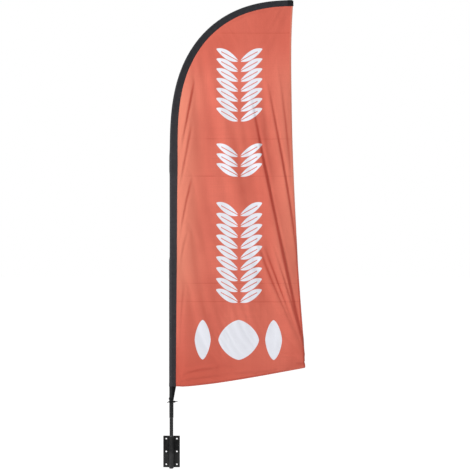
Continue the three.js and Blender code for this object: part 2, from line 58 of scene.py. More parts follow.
# %% [markdown]
# ## Camera, floor and light
# A long lens, well back and level with the middle of the flag, keeps the pole upright and the
# flag's outline free of perspective. The floor is one pale sheet that runs far back, and the sky
# behind it is white, so that nothing but the flag has an edge. Lamps leave a pale floor brighter
# near them than far off, so what the camera sees of it is mostly an even glow, which lights
# nothing, while the flag still gets the plain floor's light from below.
# The key light is large, high and to the left: it models the folds, and it leaves the lower
# right of the cloth a little darker. A weak fill opens the shadows.

# %% Camera
VIEW_DISTANCE = 5.2
VIEW_WIDTH = 2.82  # what the frame takes in, at the pole
VIEW_MIDDLE = Vector((0.3816, 1.3024))
SENSOR = 36.0
POLE_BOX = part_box("base_tube")
AXIS_Y = (POLE_BOX[0].y + POLE_BOX[1].y) / 2

camera_data = bpy.data.cameras.new("camera")
camera_data.sensor_width = SENSOR
camera_data.lens = SENSOR * VIEW_DISTANCE / VIEW_WIDTH
camera = bpy.data.objects.new("camera", camera_data)
camera.location = (VIEW_MIDDLE.x, AXIS_Y - VIEW_DISTANCE, VIEW_MIDDLE.y)
camera.rotation_euler = (math.radians(90), 0, 0)
bpy.context.scene.collection.objects.link(camera)
bpy.context.scene.camera = camera
bpy.context.scene.view_settings.view_transform = "Standard"
print("lens", round(camera_data.lens, 1), "mm")


# %% A finish to start from: one Principled shader with its constant values set
def new_finish(name, colour, roughness, metallic=0.0, **sockets):
    material = bpy.data.materials.new(name)
    material.use_nodes = True
    shader = material.node_tree.nodes["Principled BSDF"]
    shader.inputs["Base Color"].default_value = (*colour, 1)
    shader.inputs["Roughness"].default_value = roughness
    shader.inputs["Metallic"].default_value = metallic
    for socket, value in sockets.items():
        shader.inputs[socket.replace("_", " ")].default_value = value
    return material, material.node_tree, shader


def add_mesh(name, points, faces, finish=None):
    mesh = bpy.data.meshes.new(name)
    mesh.from_pydata([tuple(p) for p in points], [], [tuple(f) for f in faces])
    mesh.validate()
    mesh.update()
    piece = bpy.data.objects.new(name, mesh)
    bpy.context.scene.collection.objects.link(piece)
    if finish is not None:
        mesh.materials.append(finish)
    mesh.shade_smooth()
    return piece


# %% Floor and sky
FLOOR_Z = -0.45
FLOOR_REACH = 30.0  # from the middle to each side
FLOOR_GLOW = 0.92  # lifts the floor to the sky's white, for the camera alone
FLOOR_PALE = 0.9  # how much light the floor sends back to the flag
FLOOR_SEEN = 0.2  # how much of the lamps' light it shows the camera on top of its glow
floor_finish, floor_tree, floor_shader = new_finish("studio_floor", (FLOOR_PALE,) * 3, 0.9)
floor_shader.inputs["Emission Color"].default_value = (1, 1, 1, 1)
floor_seen = floor_tree.nodes.new("ShaderNodeLightPath").outputs["Is Camera Ray"]
floor_glow = floor_tree.nodes.new("ShaderNodeMath")
floor_glow.operation = "MULTIPLY"
floor_glow.inputs[1].default_value = FLOOR_GLOW
floor_tree.links.new(floor_seen, floor_glow.inputs[0])
floor_tree.links.new(floor_glow.outputs[0], floor_shader.inputs["Emission Strength"])
floor_tone = floor_tree.nodes.new("ShaderNodeMapRange")
floor_tone.inputs["To Min"].default_value = FLOOR_PALE
floor_tone.inputs["To Max"].default_value = FLOOR_SEEN
floor_tree.links.new(floor_seen, floor_tone.inputs["Value"])
floor_tree.links.new(floor_tone.outputs["Result"], floor_shader.inputs["Base Color"])
corner_signs = ((-1, -1), (1, -1), (1, 1), (-1, 1))
floor_corners = [(x * FLOOR_REACH, y * FLOOR_REACH, FLOOR_Z) for x, y in corner_signs]
add_mesh("studio_floor", floor_corners, [(0, 1, 2, 3)], floor_finish)

SKY_SEEN = 1.0
SKY_LIGHT = 0.42
world = bpy.data.worlds.new("studio")
bpy.context.scene.world = world
world.use_nodes = True
sky = world.node_tree.nodes
sky_join = sky.new("ShaderNodeMixShader")
sky_ray = sky.new("ShaderNodeLightPath")
sky_seen = sky.new("ShaderNodeBackground")
sky_seen.inputs["Color"].default_value = (1, 1, 1, 1)
sky_seen.inputs["Strength"].default_value = SKY_SEEN
sky["Background"].inputs["Color"].default_value = (1, 1, 1, 1)
sky["Background"].inputs["Strength"].default_value = SKY_LIGHT
world.node_tree.links.new(sky_ray.outputs["Is Camera Ray"], sky_join.inputs["Fac"])
world.node_tree.links.new(sky["Background"].outputs[0], sky_join.inputs[1])
world.node_tree.links.new(sky_seen.outputs[0], sky_join.inputs[2])
world.node_tree.links.new(sky_join.outputs[0], sky["World Output"].inputs["Surface"])
print("floor", 2 * FLOOR_REACH, "m wide, sky light", SKY_LIGHT)


# %% Lights
def add_light(name, place, aim, size, power, colour=(1, 1, 1)):
    data = bpy.data.lights.new(name, "AREA")
    data.shape = "DISK"
    data.size = size
    data.energy = power
    data.color = colour
    light = bpy.data.objects.new(name, data)
    light.location = place
    light.rotation_euler = (Vector(aim) - Vector(place)).to_track_quat("-Z", "Y").to_euler()
    bpy.context.scene.collection.objects.link(light)
    return light


FLAG_MIDDLE = (0.38, AXIS_Y, 1.5)
add_light("key", (-2.9, -2.7, 3.9), FLAG_MIDDLE, 1.5, 175)
add_light("fill", (1.3, -5.0, 1.3), FLAG_MIDDLE, 2.6, 34)
add_light("back", (1.5, 3.6, 3.2), FLAG_MIDDLE, 2.5, 60)
print("three lights, floor at", FLOOR_Z)


# %% [markdown]
# ## The pole's line
# Everything sewn follows one line: straight up from the sleeve's foot, then round the bend of
# the tapering rod. A rod held bent by its cloth curves most where it is thin, and not at all at
# its free end, so the curvature rises and falls along the bend by one formula. Working from the
# formula instead of a list of points lets sleeve, stitches and panel share the same edge.

# %% The line and the points beside it
SLEEVE_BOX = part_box("pole_sleeve")
COLLAR_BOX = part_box("joint_collar")
FERRULE_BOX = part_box("lower_ferrule")
FLAG_FOOT = SLEEVE_BOX[0].z
BEND_START = COLLAR_BOX[1].z
STRAIGHT_LENGTH = BEND_START - FLAG_FOOT
BEND_LENGTH = 1.392
BEND_ANGLE = 1.546  # radians from upright at the rod's end
BEND_RISE = 1.236
BEND_FALL = 0.665
BEND_STEPS = 400
SLEEVE_LENGTH = STRAIGHT_LENGTH + BEND_LENGTH


def bend_line():
    """Lengths along the sleeve, with the line's x, z and slope from upright at each."""
    step = BEND_LENGTH / BEND_STEPS
    share = (np.arange(BEND_STEPS) + 0.5) / BEND_STEPS
    weight = share**BEND_RISE * (1 - share) ** BEND_FALL
    turn = BEND_ANGLE * weight / weight.sum()
    slope = np.cumsum(turn)
    heading = slope - turn / 2
    along = STRAIGHT_LENGTH + step * np.arange(1, BEND_STEPS + 1)
    x = np.cumsum(step * np.sin(heading))
    z = BEND_START + np.cumsum(step * np.cos(heading))
    start = [0.0, STRAIGHT_LENGTH]
    return (
        np.concatenate([start, along]),
        np.concatenate([[0, 0], x]),
        np.concatenate([[FLAG_FOOT, BEND_START], z]),
        np.concatenate([[0, 0], slope]),
    )


LINE_ALONG, LINE_X, LINE_Z, LINE_SLOPE = bend_line()


def beside(along, across, depth=0.0):
    """Points beside the line: across is towards the flag, and depth is along Y."""
    along, across, depth = np.broadcast_arrays(along, across, depth)
    slope = np.interp(along, LINE_ALONG, LINE_SLOPE)
    x = np.interp(along, LINE_ALONG, LINE_X) + across * np.cos(slope)
    z = np.interp(along, LINE_ALONG, LINE_Z) - across * np.sin(slope)
    return np.stack([x, AXIS_Y + depth, z], axis=-1)


def smooth(value, start, end):
    share = np.clip((value - start) / (end - start), 0, 1)
    return share * share * (3 - 2 * share)


rod_end = beside(SLEEVE_LENGTH, 0)


# %% [markdown]
# ## Node tools
# Every pattern below is arithmetic on a surface position, so it is written with one helper that
# adds a Math node. Effects that several finishes share are node groups: a group is built once,
# has named inputs and outputs, and is placed in each finish with that finish's own values.

# %% Helpers for node trees
def put(tree, value, socket):
    """Feeds a socket from another socket, or sets its value."""
    if isinstance(value, bpy.types.NodeSocket):
        tree.links.new(value, socket)
    else:
        socket.default_value = value


def op(tree, operation, *values, clamp=False):
    node = tree.nodes.new("ShaderNodeMath")
    node.operation = operation
    node.use_clamp = clamp
    for value, socket in zip(values, node.inputs):
        put(tree, value, socket)
    return node.outputs[0]


def split(tree, vector):
    node = tree.nodes.new("ShaderNodeSeparateXYZ")
    tree.links.new(vector, node.inputs[0])
    return node.outputs


def noise(tree, vector, scale, detail=3.0, roughness=0.5, distortion=0.0):
    node = tree.nodes.new("ShaderNodeTexNoise")
    put(tree, vector, node.inputs["Vector"])
    put(tree, scale, node.inputs["Scale"])
    node.inputs["Detail"].default_value = detail
    node.inputs["Roughness"].default_value = roughness
    node.inputs["Distortion"].default_value = distortion
    return node.outputs["Fac"]


def stretch(tree, vector, scale):
    node = tree.nodes.new("ShaderNodeVectorMath")
    node.operation = "MULTIPLY"
    tree.links.new(vector, node.inputs[0])
    node.inputs[1].default_value = scale
    return node.outputs[0]


def ramp(tree, value, low, high, start=0.0, end=1.0):
    """Maps low..high to start..end, and stays there outside."""
    node = tree.nodes.new("ShaderNodeMapRange")
    node.interpolation_type = "SMOOTHSTEP"
    sockets = ("Value", "From Min", "From Max", "To Min", "To Max")
    for given, name in zip((value, low, high, start, end), sockets):
        put(tree, given, node.inputs[name])
    return node.outputs["Result"]


def blend_colours(tree, share, first, second, how="MIX"):
    node = tree.nodes.new("ShaderNodeMix")
    node.data_type = "RGBA"
    node.blend_type = how
    put(tree, share, node.inputs["Factor"])
    for colour, socket in ((first, node.inputs[6]), (second, node.inputs[7])):
        put(tree, colour if isinstance(colour, bpy.types.NodeSocket) else (*colour, 1), socket)
    return node.outputs[2]


def bump(tree, height, distance, strength=1.0):
    node = tree.nodes.new("ShaderNodeBump")
    node.inputs["Strength"].default_value = strength
    node.inputs["Distance"].default_value = distance
    tree.links.new(height, node.inputs["Height"])
    return node.outputs["Normal"]


def coordinates(tree, uv=None):
    if uv is None:
        return tree.nodes.new("ShaderNodeTexCoord").outputs["Object"]
    node = tree.nodes.new("ShaderNodeUVMap")
    node.uv_map = uv
    return node.outputs["UV"]


def new_group(name, inputs, outputs):
    """A shader node group with float inputs (a name and a usual value) and one vector input."""
    group = bpy.data.node_groups.new(name, "ShaderNodeTree")
    group.interface.new_socket("Vector", in_out="INPUT", socket_type="NodeSocketVector")
    for socket, usual in inputs.items():
        made = group.interface.new_socket(socket, in_out="INPUT", socket_type="NodeSocketFloat")
        made.default_value = usual
    for socket in outputs:
        group.interface.new_socket(socket, in_out="OUTPUT", socket_type="NodeSocketFloat")
    given = group.nodes.new("NodeGroupInput").outputs
    result = group.nodes.new("NodeGroupOutput").inputs
    return group, given, result


def place_group(tree, group, vector, **values):
    node = tree.nodes.new("ShaderNodeGroup")
    node.node_tree = group
    tree.links.new(vector, node.inputs["Vector"])
    for name, value in values.items():
        put(tree, value, node.inputs[name.replace("_", " ")])
    return node.outputs


# %% [markdown]
# ## Shared effects
# - Plain weave: one thread over, one under. Two rows of round threads, and a checkerboard that
#   says which is on top, give the sleeve, the webbing and the cord their relief.
# - Knit: rows of V loops. A sawtooth across each stitch tilts the rows, which makes the Vs.
#   Long noise along the courses and the wales gives the faint streaks of uneven yarn.
# - Powder grain: the fine orange peel of baked paint.
# - Rubbed edges: how near a point lies to the outline of a rectangle, broken up by noise.
# - Dust: noise on what faces up.
# - Fine scratches: noise drawn out along the pole.

# %% Weave and knit
def make_weave():
    group, given, result = new_group("plain_weave", {"Threads": 2000.0}, ["Height", "Shade"])
    x, z, _ = split(group, given["Vector"])
    across = op(group, "MULTIPLY", x, given["Threads"])
    up = op(group, "MULTIPLY", z, given["Threads"])
    warp = op(group, "ABSOLUTE", op(group, "SINE", op(group, "MULTIPLY", across, math.pi)))
    weft = op(group, "ABSOLUTE", op(group, "SINE", op(group, "MULTIPLY", up, math.pi)))
    cell = op(group, "ADD", op(group, "FLOOR", across), op(group, "FLOOR", up))
    over = op(group, "MULTIPLY", op(group, "FRACT", op(group, "MULTIPLY", cell, 0.5)), 2.0)
    on_top = op(group, "MULTIPLY", warp, over)
    below = op(group, "MULTIPLY", weft, op(group, "SUBTRACT", 1.0, over))
    height = op(group, "ADD", on_top, below)
    group.links.new(height, result["Height"])
    yarn = noise(group, given["Vector"], 260.0, 2.0)
    shade = op(group, "MULTIPLY_ADD", yarn, 0.5, op(group, "MULTIPLY", height, 0.5))
    group.links.new(shade, result["Shade"])
    return group


def make_knit():
    """Barre is the faint banding of whole courses, and streak that of whole wales."""
    inputs = {"Wales": 1000.0, "Courses": 1300.0}
    group, given, result = new_group("knit", inputs, ["Height", "Shade"])
    x, z, _ = split(group, given["Vector"])
    wale = op(group, "FRACT", op(group, "MULTIPLY", x, given["Wales"]))
    tilt = op(group, "ABSOLUTE", op(group, "MULTIPLY_ADD", wale, 2.0, -1.0))
    course = op(group, "MULTIPLY_ADD", tilt, 0.45, op(group, "MULTIPLY", z, given["Courses"]))
    loop = op(group, "ABSOLUTE", op(group, "SINE", op(group, "MULTIPLY", course, math.pi)))
    rib = op(group, "SINE", op(group, "MULTIPLY", wale, math.pi))
    height = op(group, "MULTIPLY", loop, op(group, "POWER", rib, 0.5))
    group.links.new(height, result["Height"])
    barre = noise(group, stretch(group, given["Vector"], (5.0, 170.0, 1.0)), 1.0, 2.0)
    streak = noise(group, stretch(group, given["Vector"], (150.0, 3.0, 1.0)), 1.0, 2.0)
    streaks = op(group, "MULTIPLY_ADD", barre, 0.4, op(group, "MULTIPLY", streak, 0.35))
    group.links.new(op(group, "MULTIPLY_ADD", height, 0.3, streaks), result["Shade"])
    return group


WEAVE = make_weave()
KNIT = make_knit()
print("shared groups:", WEAVE.name, "and", KNIT.name)


# %% Paint grain, rubbed edges, dust and scratches
def make_grain():
    group, given, result = new_group("powder_grain", {"Scale": 900.0}, ["Height", "Shade"])
    fine = noise(group, given["Vector"], given["Scale"], 4.0)
    broad = noise(group, given["Vector"], 35.0, 3.0)
    group.links.new(fine, result["Height"])
    group.links.new(broad, result["Shade"])
    return group


def make_rubbed():
    inputs = {"Middle X": 0.0, "Middle Z": 0.0, "Half X": 1.0, "Half Z": 1.0, "Width": 0.002}
    group, given, result = new_group("rubbed_edges", inputs, ["Mask"])
    x, _, z = split(group, given["Vector"])
    from_side = op(group, "ABSOLUTE", op(group, "SUBTRACT", x, given["Middle X"]))
    from_side = op(group, "SUBTRACT", given["Half X"], from_side)
    from_end = op(group, "ABSOLUTE", op(group, "SUBTRACT", z, given["Middle Z"]))
    from_end = op(group, "SUBTRACT", given["Half Z"], from_end)
    nearest = op(group, "MINIMUM", from_side, from_end)
    near = op(group, "SUBTRACT", 1.0, op(group, "DIVIDE", nearest, given["Width"]), clamp=True)
    broken = ramp(group, noise(group, given["Vector"], 190.0, 5.0, 0.65), 0.45, 0.62)
    group.links.new(op(group, "MULTIPLY", near, broken), result["Mask"])
    return group


def make_dust():
    group, given, result = new_group("dust", {"Amount": 0.3}, ["Mask"])
    normal = group.nodes.new("ShaderNodeNewGeometry").outputs["Normal"]
    facing_up = op(group, "MAXIMUM", split(group, normal)[2], 0.12)
    patches = ramp(group, noise(group, given["Vector"], 60.0, 6.0, 0.7), 0.4, 0.75)
    share = op(group, "MULTIPLY", op(group, "MULTIPLY", facing_up, patches), given["Amount"], clamp=True)
    group.links.new(share, result["Mask"])
    return group


def make_scratches():
    group, given, result = new_group("fine_scratches", {"Density": 700.0}, ["Mask"])
    drawn_out = stretch(group, given["Vector"], (1.0, 1.0, 0.02))
    lines = noise(group, drawn_out, given["Density"], 2.0, 0.4)
    wear = noise(group, given["Vector"], 24.0, 3.0)
    mask = op(group, "MULTIPLY", ramp(group, lines, 0.6, 0.72), ramp(group, wear, 0.42, 0.65))
    group.links.new(mask, result["Mask"])
    return group


GRAIN = make_grain()
RUBBED = make_rubbed()
DUST = make_dust()
SCRATCHES = make_scratches()
print("node groups", [g.name for g in bpy.data.node_groups])


# %% [markdown]
# ## Metals and plastics
# The bracket is steel in black baked paint: nearly matt, with a fine grain, a little bare metal
# where edges rub, and dust on its ledges. Its lower part is painted a greyer black, as painted
# reflection of the pale floor, and the same grey lies in random patches all over. The spindle is
# duller all over. The pole is aluminium tube in a thin black lacquer, crossed by scratches from the
# sleeve being drawn on and off. Both have little shine, because a bright rim along a thin tube makes it
# look thinner.
# Inside are bare aluminium, bare steel and nylon, which show only when the pole is lifted or the
# part is taken to pieces.

# %% Painted steel
RUBBED_STEEL = (0.2, 0.195, 0.19)
GREY_DUST = (0.25, 0.24, 0.22)
REFLECTION_TOP = 45 * MM  # where the painted reflection of the floor starts, above the middle
REFLECTION_FULL = 5 * MM  # and where it is full, from there down


def middle_and_half(box, axis):
    """Where a box's middle lies along an axis, and half its size that way."""
    low, high = box[0][axis], box[1][axis]
    return (low + high) / 2, (high - low) / 2


def painted_steel(name, box, colour, patches_and_reflection, roughness, rub_width, grain_height, round_bar=False):
    """colour is the paint's own black, at the top. The second colour is painted over the lower part, as
    painted reflection of the pale floor, and in random patches all over.

    A round bar has no corners along its length, so it is rubbed at its two ends only.
    """
    material, tree, shader = new_finish(name, colour, roughness, Specular_IOR_Level=0.14)
    place = coordinates(tree)
    grain = place_group(tree, GRAIN, place)
    middle_x, half_x = middle_and_half(box, 0)
    middle_z, half_z = middle_and_half(box, 2)
    sides = {} if round_bar else {"Middle_X": middle_x, "Half_X": half_x}
    rubbed = place_group(
        tree, RUBBED, place, Middle_Z=middle_z, Half_Z=half_z, Width=rub_width, **sides
    )["Mask"]
    dust = place_group(tree, DUST, place, Amount=0.5)["Mask"]
    height = op(tree, "MULTIPLY_ADD", grain["Shade"], 0.06, split(tree, place)[2])
    # Painted reflection of the pale floor: below a level near the middle, the paint takes its greyer
    # second colour.
    painted_reflection_below = ramp(tree, height, middle_z + REFLECTION_TOP, middle_z + REFLECTION_FULL)
    base = blend_colours(tree, painted_reflection_below, colour, patches_and_reflection)
    patches = op(tree, "MULTIPLY", ramp(tree, grain["Shade"], 0.35, 0.7), 0.3)
    base = blend_colours(tree, patches, base, patches_and_reflection)
    base = blend_colours(tree, op(tree, "MULTIPLY", rubbed, 0.4), base, RUBBED_STEEL)
    base = blend_colours(tree, dust, base, GREY_DUST)
    tree.links.new(base, shader.inputs["Base Color"])
    tree.links.new(op(tree, "MULTIPLY", rubbed, 0.6), shader.inputs["Metallic"])
    rough = op(tree, "MULTIPLY_ADD", grain["Shade"], 0.16, roughness - 0.08)
    tree.links.new(op(tree, "MULTIPLY_ADD", dust, 0.3, rough), shader.inputs["Roughness"])
    tree.links.new(bump(tree, grain["Height"], grain_height), shader.inputs["Normal"])
    return material


# Each pair is the paint's black and a greyer black, which is painted on the lower part as painted
# reflection of the pale floor, and in random patches.
PAINT_BLACK = (0.0055, 0.0055, 0.006)
PATCHES_AND_REFLECTION_PAINT = (0.024, 0.024, 0.0245)
SOCKET_BLACK = (0.013, 0.013, 0.0135)
SOCKET_PATCHES_AND_REFLECTION = (0.036, 0.036, 0.037)
SPINDLE_BLACK = (0.030, 0.030, 0.031)
plate_paint = painted_steel(
    "plate_paint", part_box("wall_plate"), PAINT_BLACK, PATCHES_AND_REFLECTION_PAINT, 0.5, 1.6 * MM, 0.09 * MM
)
socket_paint = painted_steel(
    "socket_paint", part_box("socket_tube"), SOCKET_BLACK, SOCKET_PATCHES_AND_REFLECTION, 0.46, 1.2 * MM, 0.09 * MM,
    round_bar=True,
)
spindle_black = painted_steel(
    "spindle_black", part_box("spindle"), SPINDLE_BLACK, SPINDLE_BLACK, 0.55, 1.2 * MM, 0.05 * MM,
    round_bar=True,
)
print("paints:", plate_paint.name, socket_paint.name, spindle_black.name)


# %% Lacquered tube
LACQUER_BLACK = (0.012, 0.0125, 0.0135)
SCRATCH_GREY = (0.05, 0.05, 0.054)
RUBBED_ALUMINIUM = (0.42, 0.42, 0.43)


def lacquer(name, box):
    material, tree, shader = new_finish(
        name, LACQUER_BLACK, 0.26,
        Coat_Weight=0.12, Coat_Roughness=0.14, Specular_IOR_Level=0.14,
    )
    place = coordinates(tree)
    scratched = place_group(tree, SCRATCHES, place, Density=700.0)["Mask"]
    middle_z, half_z = middle_and_half(box, 2)
    rubbed = place_group(
        tree, RUBBED, place, Middle_Z=middle_z, Half_Z=half_z, Width=1.6 * MM
    )["Mask"]
    dust = place_group(tree, DUST, place, Amount=0.35)["Mask"]
    base = blend_colours(tree, op(tree, "MULTIPLY", scratched, 0.35), LACQUER_BLACK, SCRATCH_GREY)
    base = blend_colours(tree, rubbed, base, RUBBED_ALUMINIUM)
    base = blend_colours(tree, dust, base, (0.2, 0.19, 0.18))
    tree.links.new(base, shader.inputs["Base Color"])
    tree.links.new(rubbed, shader.inputs["Metallic"])
    rough = op(tree, "MULTIPLY_ADD", scratched, 0.3, 0.24)
    tree.links.new(op(tree, "MULTIPLY_ADD", dust, 0.4, rough), shader.inputs["Roughness"])
    waviness = noise(tree, stretch(tree, place, (1.0, 1.0, 0.15)), 160.0, 2.0)
    tree.links.new(bump(tree, waviness, 0.03 * MM), shader.inputs["Normal"])
    return material


base_lacquer = lacquer("base_lacquer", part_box("base_tube"))
mid_lacquer = lacquer("mid_lacquer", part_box("mid_tube"))
print("lacquers:", base_lacquer.name, mid_lacquer.name)


# %% Bare metal, nylon, moulded plastic and fibreglass
PALE_DUST = (0.3, 0.29, 0.27)


def bare_metal(name, colour, roughness, turned):
    material, tree, shader = new_finish(name, colour, roughness, 1.0)
    place = coordinates(tree)
    lines = noise(tree, stretch(tree, place, (1, 1, 30) if turned else (30, 30, 1)), 130.0, 3.0)
    dull = noise(tree, place, 70.0, 4.0)
    darker = tuple(c * 0.72 for c in colour)
    base = blend_colours(tree, ramp(tree, dull, 0.35, 0.7), colour, darker)
    tree.links.new(base, shader.inputs["Base Color"])
    tree.links.new(op(tree, "MULTIPLY_ADD", lines, 0.22, roughness - 0.1), shader.inputs["Roughness"])
    tree.links.new(bump(tree, lines, 0.02 * MM), shader.inputs["Normal"])
    return material


def moulded(name, colour, roughness, grain_height):
    material, tree, shader = new_finish(name, colour, roughness)
    place = coordinates(tree)
    grain = place_group(tree, GRAIN, place, Scale=1500.0)
    dust = place_group(tree, DUST, place, Amount=0.3)["Mask"]
    paler = tuple(c * 1.35 + 0.003 for c in colour)
    base = blend_colours(tree, grain["Shade"], colour, paler)
    base = blend_colours(tree, dust, base, PALE_DUST)
    tree.links.new(base, shader.inputs["Base Color"])
    rough = op(tree, "MULTIPLY_ADD", grain["Shade"], 0.2, roughness - 0.1)
    tree.links.new(rough, shader.inputs["Roughness"])
    tree.links.new(bump(tree, grain["Height"], grain_height), shader.inputs["Normal"])
    return material


aluminium = bare_metal("bare_aluminium", (0.56, 0.56, 0.58), 0.36, turned=True)
steel = bare_metal("bare_steel", (0.46, 0.46, 0.47), 0.34, turned=False)
nylon = moulded("nylon", (0.02, 0.02, 0.022), 0.42, 0.02 * MM)
black_plastic = moulded("black_plastic", (0.014, 0.014, 0.015), 0.5, 0.05 * MM)
fibreglass = moulded("fibreglass", (0.016, 0.016, 0.017), 0.3, 0.03 * MM)
print("plain finishes:", aluminium.name, steel.name, nylon.name, black_plastic.name, fibreglass.name)


# %% [markdown]
# ## Dressing the hard nodes
# A hard node keeps its shape. It is shaded smooth up to its sharp corners, and a small bevel
# modifier takes the knife edge off those corners, so that they catch a thin line of light as
# real pressed and turned edges do. The node's own shape and place stay as the frame gives them.

# %% Finish and bevel for each hard node
SHARP = math.radians(32)


def dress(node, finish, bevel=0.0, steps=2):
    piece = NODES[node]
    mesh = piece.data
    mesh.materials.clear()
    mesh.materials.append(finish)
    for polygon in mesh.polygons:
        polygon.material_index = 0
    if "custom_normal" in mesh.attributes:
        mesh.attributes.remove(mesh.attributes["custom_normal"])
    weld = piece.modifiers.new("Weld", "WELD")
    weld.merge_threshold = 0.01 * MM
    if bevel:
        rounded = piece.modifiers.new("Bevel", "BEVEL")
        rounded.width = bevel
        rounded.segments = steps
        rounded.limit_method = "ANGLE"
        rounded.angle_limit = SHARP
        rounded.harden_normals = False
    mesh.shade_smooth()
    mesh.set_sharp_from_angle(angle=SHARP)
    return piece


HARD_NODES = {
    "wall_plate": (plate_paint, 0.7 * MM),
    "socket_tube": (socket_paint, 0.4 * MM),
    "socket_end_plug": (black_plastic, 0.3 * MM),
    "upper_bush": (nylon, 0.25 * MM),
    "lower_bush": (nylon, 0.25 * MM),
    "spindle": (spindle_black, 0.3 * MM),
    "thrust_washer": (steel, 0.2 * MM),
    "retaining_clip": (steel, 0.15 * MM),
    "base_tube": (base_lacquer, 0.3 * MM),
    "spindle_stop": (nylon, 0.5 * MM),
    "lower_ferrule": (aluminium, 0.2 * MM),
    "mid_tube": (mid_lacquer, 0.3 * MM),
    "joint_collar": (aluminium, 0.4 * MM),
    "rod_bush": (black_plastic, 0.25 * MM),
    "tip_rod": (fibreglass, 0.3 * MM),
    "tip_cap": (black_plastic, 0.2 * MM),
}
for node, (finish, bevel) in HARD_NODES.items():
    dress(node, finish, bevel)
print("dressed", len(HARD_NODES), "hard nodes")


# %% [markdown]
# ## Skins and sweeps
# Most soft pieces are a grid of points: rings round a line, or rows across a strip. One helper
# turns such a grid into quads, and stores how far each point lies round and along the cloth, in
# metres, as a UV map. The weave is then the right size however the piece is bent.

# %% A skin from a grid of points
CUT = "cut"  # the UV map that holds flat distances on the cloth, in metres


def grid_distances(grid, closed):
    """How far each column lies round the first row, and each row along the piece."""
    ring = np.concatenate([grid, grid[:, :1]], axis=1) if closed else grid
    around = np.linalg.norm(np.diff(ring, axis=1), axis=2).mean(axis=0)
    up = np.linalg.norm(np.diff(grid, axis=0), axis=2).mean(axis=1)
    return np.concatenate([[0], np.cumsum(around)]), np.concatenate([[0], np.cumsum(up)])


def skin(name, grid, finish, closed=True, capped=False):
    """closed joins the last column to the first, and capped fills the first and last rows."""
    grid = np.asarray(grid, float)
    rows, columns, _ = grid.shape
    around, up = grid_distances(grid, closed)
    faces, uvs = [], []
    for i in range(rows - 1):
        for j in range(columns if closed else columns - 1):
            k = (j + 1) % columns
            this, above = i * columns, (i + 1) * columns
            faces.append((this + j, this + k, above + k, above + j))
            uvs += [(around[j], up[i]), (around[j + 1], up[i])]
            uvs += [(around[j + 1], up[i + 1]), (around[j], up[i + 1])]
    if capped:
        for row, order in ((0, range(columns - 1, -1, -1)), (rows - 1, range(columns))):
            faces.append(tuple(row * columns + j for j in order))
            uvs += [(0, 0)] * columns
    mesh = bpy.data.meshes.new(name)
    mesh.from_pydata([tuple(p) for p in grid.reshape(-1, 3)], [], faces)
    layer = mesh.uv_layers.new(name=CUT)
    layer.data.foreach_set("uv", np.array(uvs, np.float32).ravel())
    mesh.materials.append(finish)
    mesh.update()
    mesh.shade_smooth()
    piece = bpy.data.objects.new(name, mesh)
    bpy.context.scene.collection.objects.link(piece)
    return piece


def apply_modifiers(piece):
    """Replaces the piece's mesh by what its modifiers make of it."""
    bpy.context.view_layer.update()
    seen = piece.evaluated_get(bpy.context.evaluated_depsgraph_get())
    mesh = bpy.data.meshes.new_from_object(seen)
    piece.modifiers.clear()
    old = piece.data
    piece.data = mesh
    bpy.data.meshes.remove(old)
    return piece


def thicken(piece, thickness, offset=0.0):
    solid = piece.modifiers.new("Thickness", "SOLIDIFY")
    solid.thickness = thickness
    solid.offset = offset
    solid.use_even_offset = False
    return apply_modifiers(piece)


# %% A sweep along a path
SWEEP_SIDES = 16
FIRST_SIDE = (0.123, 0.31, 0.94)  # any direction that no path here starts in


def sweep(name, path, section, finish):
    """section(i, angles) gives the radius at each angle round the path's point i."""
    path = np.asarray(path, float)
    ahead = np.gradient(path, axis=0)
    ahead /= np.linalg.norm(ahead, axis=1)[:, None]
    side = np.cross(ahead[0], FIRST_SIDE)
    rows = []
    angles = np.linspace(0, 2 * np.pi, SWEEP_SIDES, endpoint=False)
    for i, (point, forward) in enumerate(zip(path, ahead)):
        side = side - forward * side.dot(forward)
        side /= np.linalg.norm(side)
        other = np.cross(forward, side)
        radius = np.broadcast_to(section(i, angles), angles.shape)[:, None]
        round_it = np.cos(angles)[:, None] * side + np.sin(angles)[:, None] * other
        rows.append(point + radius * round_it)
    return skin(name, rows, finish, closed=True, capped=True)


# %% [markdown]
# ## Cloth finishes
# The sleeve, the webbing and the cord are black polyester: dark grey, matt, with a weave fine
# enough to show only close up, a sheen at grazing angles, and patches where lint and dust cling.
# The constant sheen is set on the shader itself. Towards its end, over the bend, the sleeve is
# painted a darker black: painted shade on the arc.

# %% Black cloths
def woven(name, colour, threads, relief, sheen, dust_amount=0.3, deeper=None):
    """deeper: a second colour, and the lengths along the piece between which it takes over; the sleeve
    uses it as painted shade along its bend.
    """
    material, tree, shader = new_finish(
        name, colour, 0.88, Sheen_Weight=sheen, Sheen_Roughness=0.45, Specular_IOR_Level=0.12
    )
    flat = coordinates(tree, CUT)
    v = split(tree, flat)[1]
    weave = place_group(tree, WEAVE, flat, Threads=threads)
    place = coordinates(tree)
    dust = place_group(tree, DUST, place, Amount=dust_amount)["Mask"]
    lint = ramp(tree, noise(tree, place, 18.0, 5.0, 0.65), 0.3, 0.75)
    paler = tuple(c * 1.32 for c in colour)
    darker = tuple(c * 0.78 for c in colour)
    base = blend_colours(tree, lint, colour, paler)
    base = blend_colours(tree, op(tree, "SUBTRACT", 0.9, weave["Shade"], clamp=True), base, darker)
    # Painted shade: between the given lengths the cloth is painted over with the darker second colour.
    if deeper is not None:
        painted_shade_colour, start, end = deeper
        base = blend_colours(tree, ramp(tree, v, start, end), base, painted_shade_colour)
    base = blend_colours(tree, dust, base, PALE_DUST)
    tree.links.new(base, shader.inputs["Base Color"])
    tree.links.new(ramp(tree, lint, 0, 1, 0.78, 0.92), shader.inputs["Roughness"])
    tree.links.new(bump(tree, weave["Height"], relief), shader.inputs["Normal"])
    return material


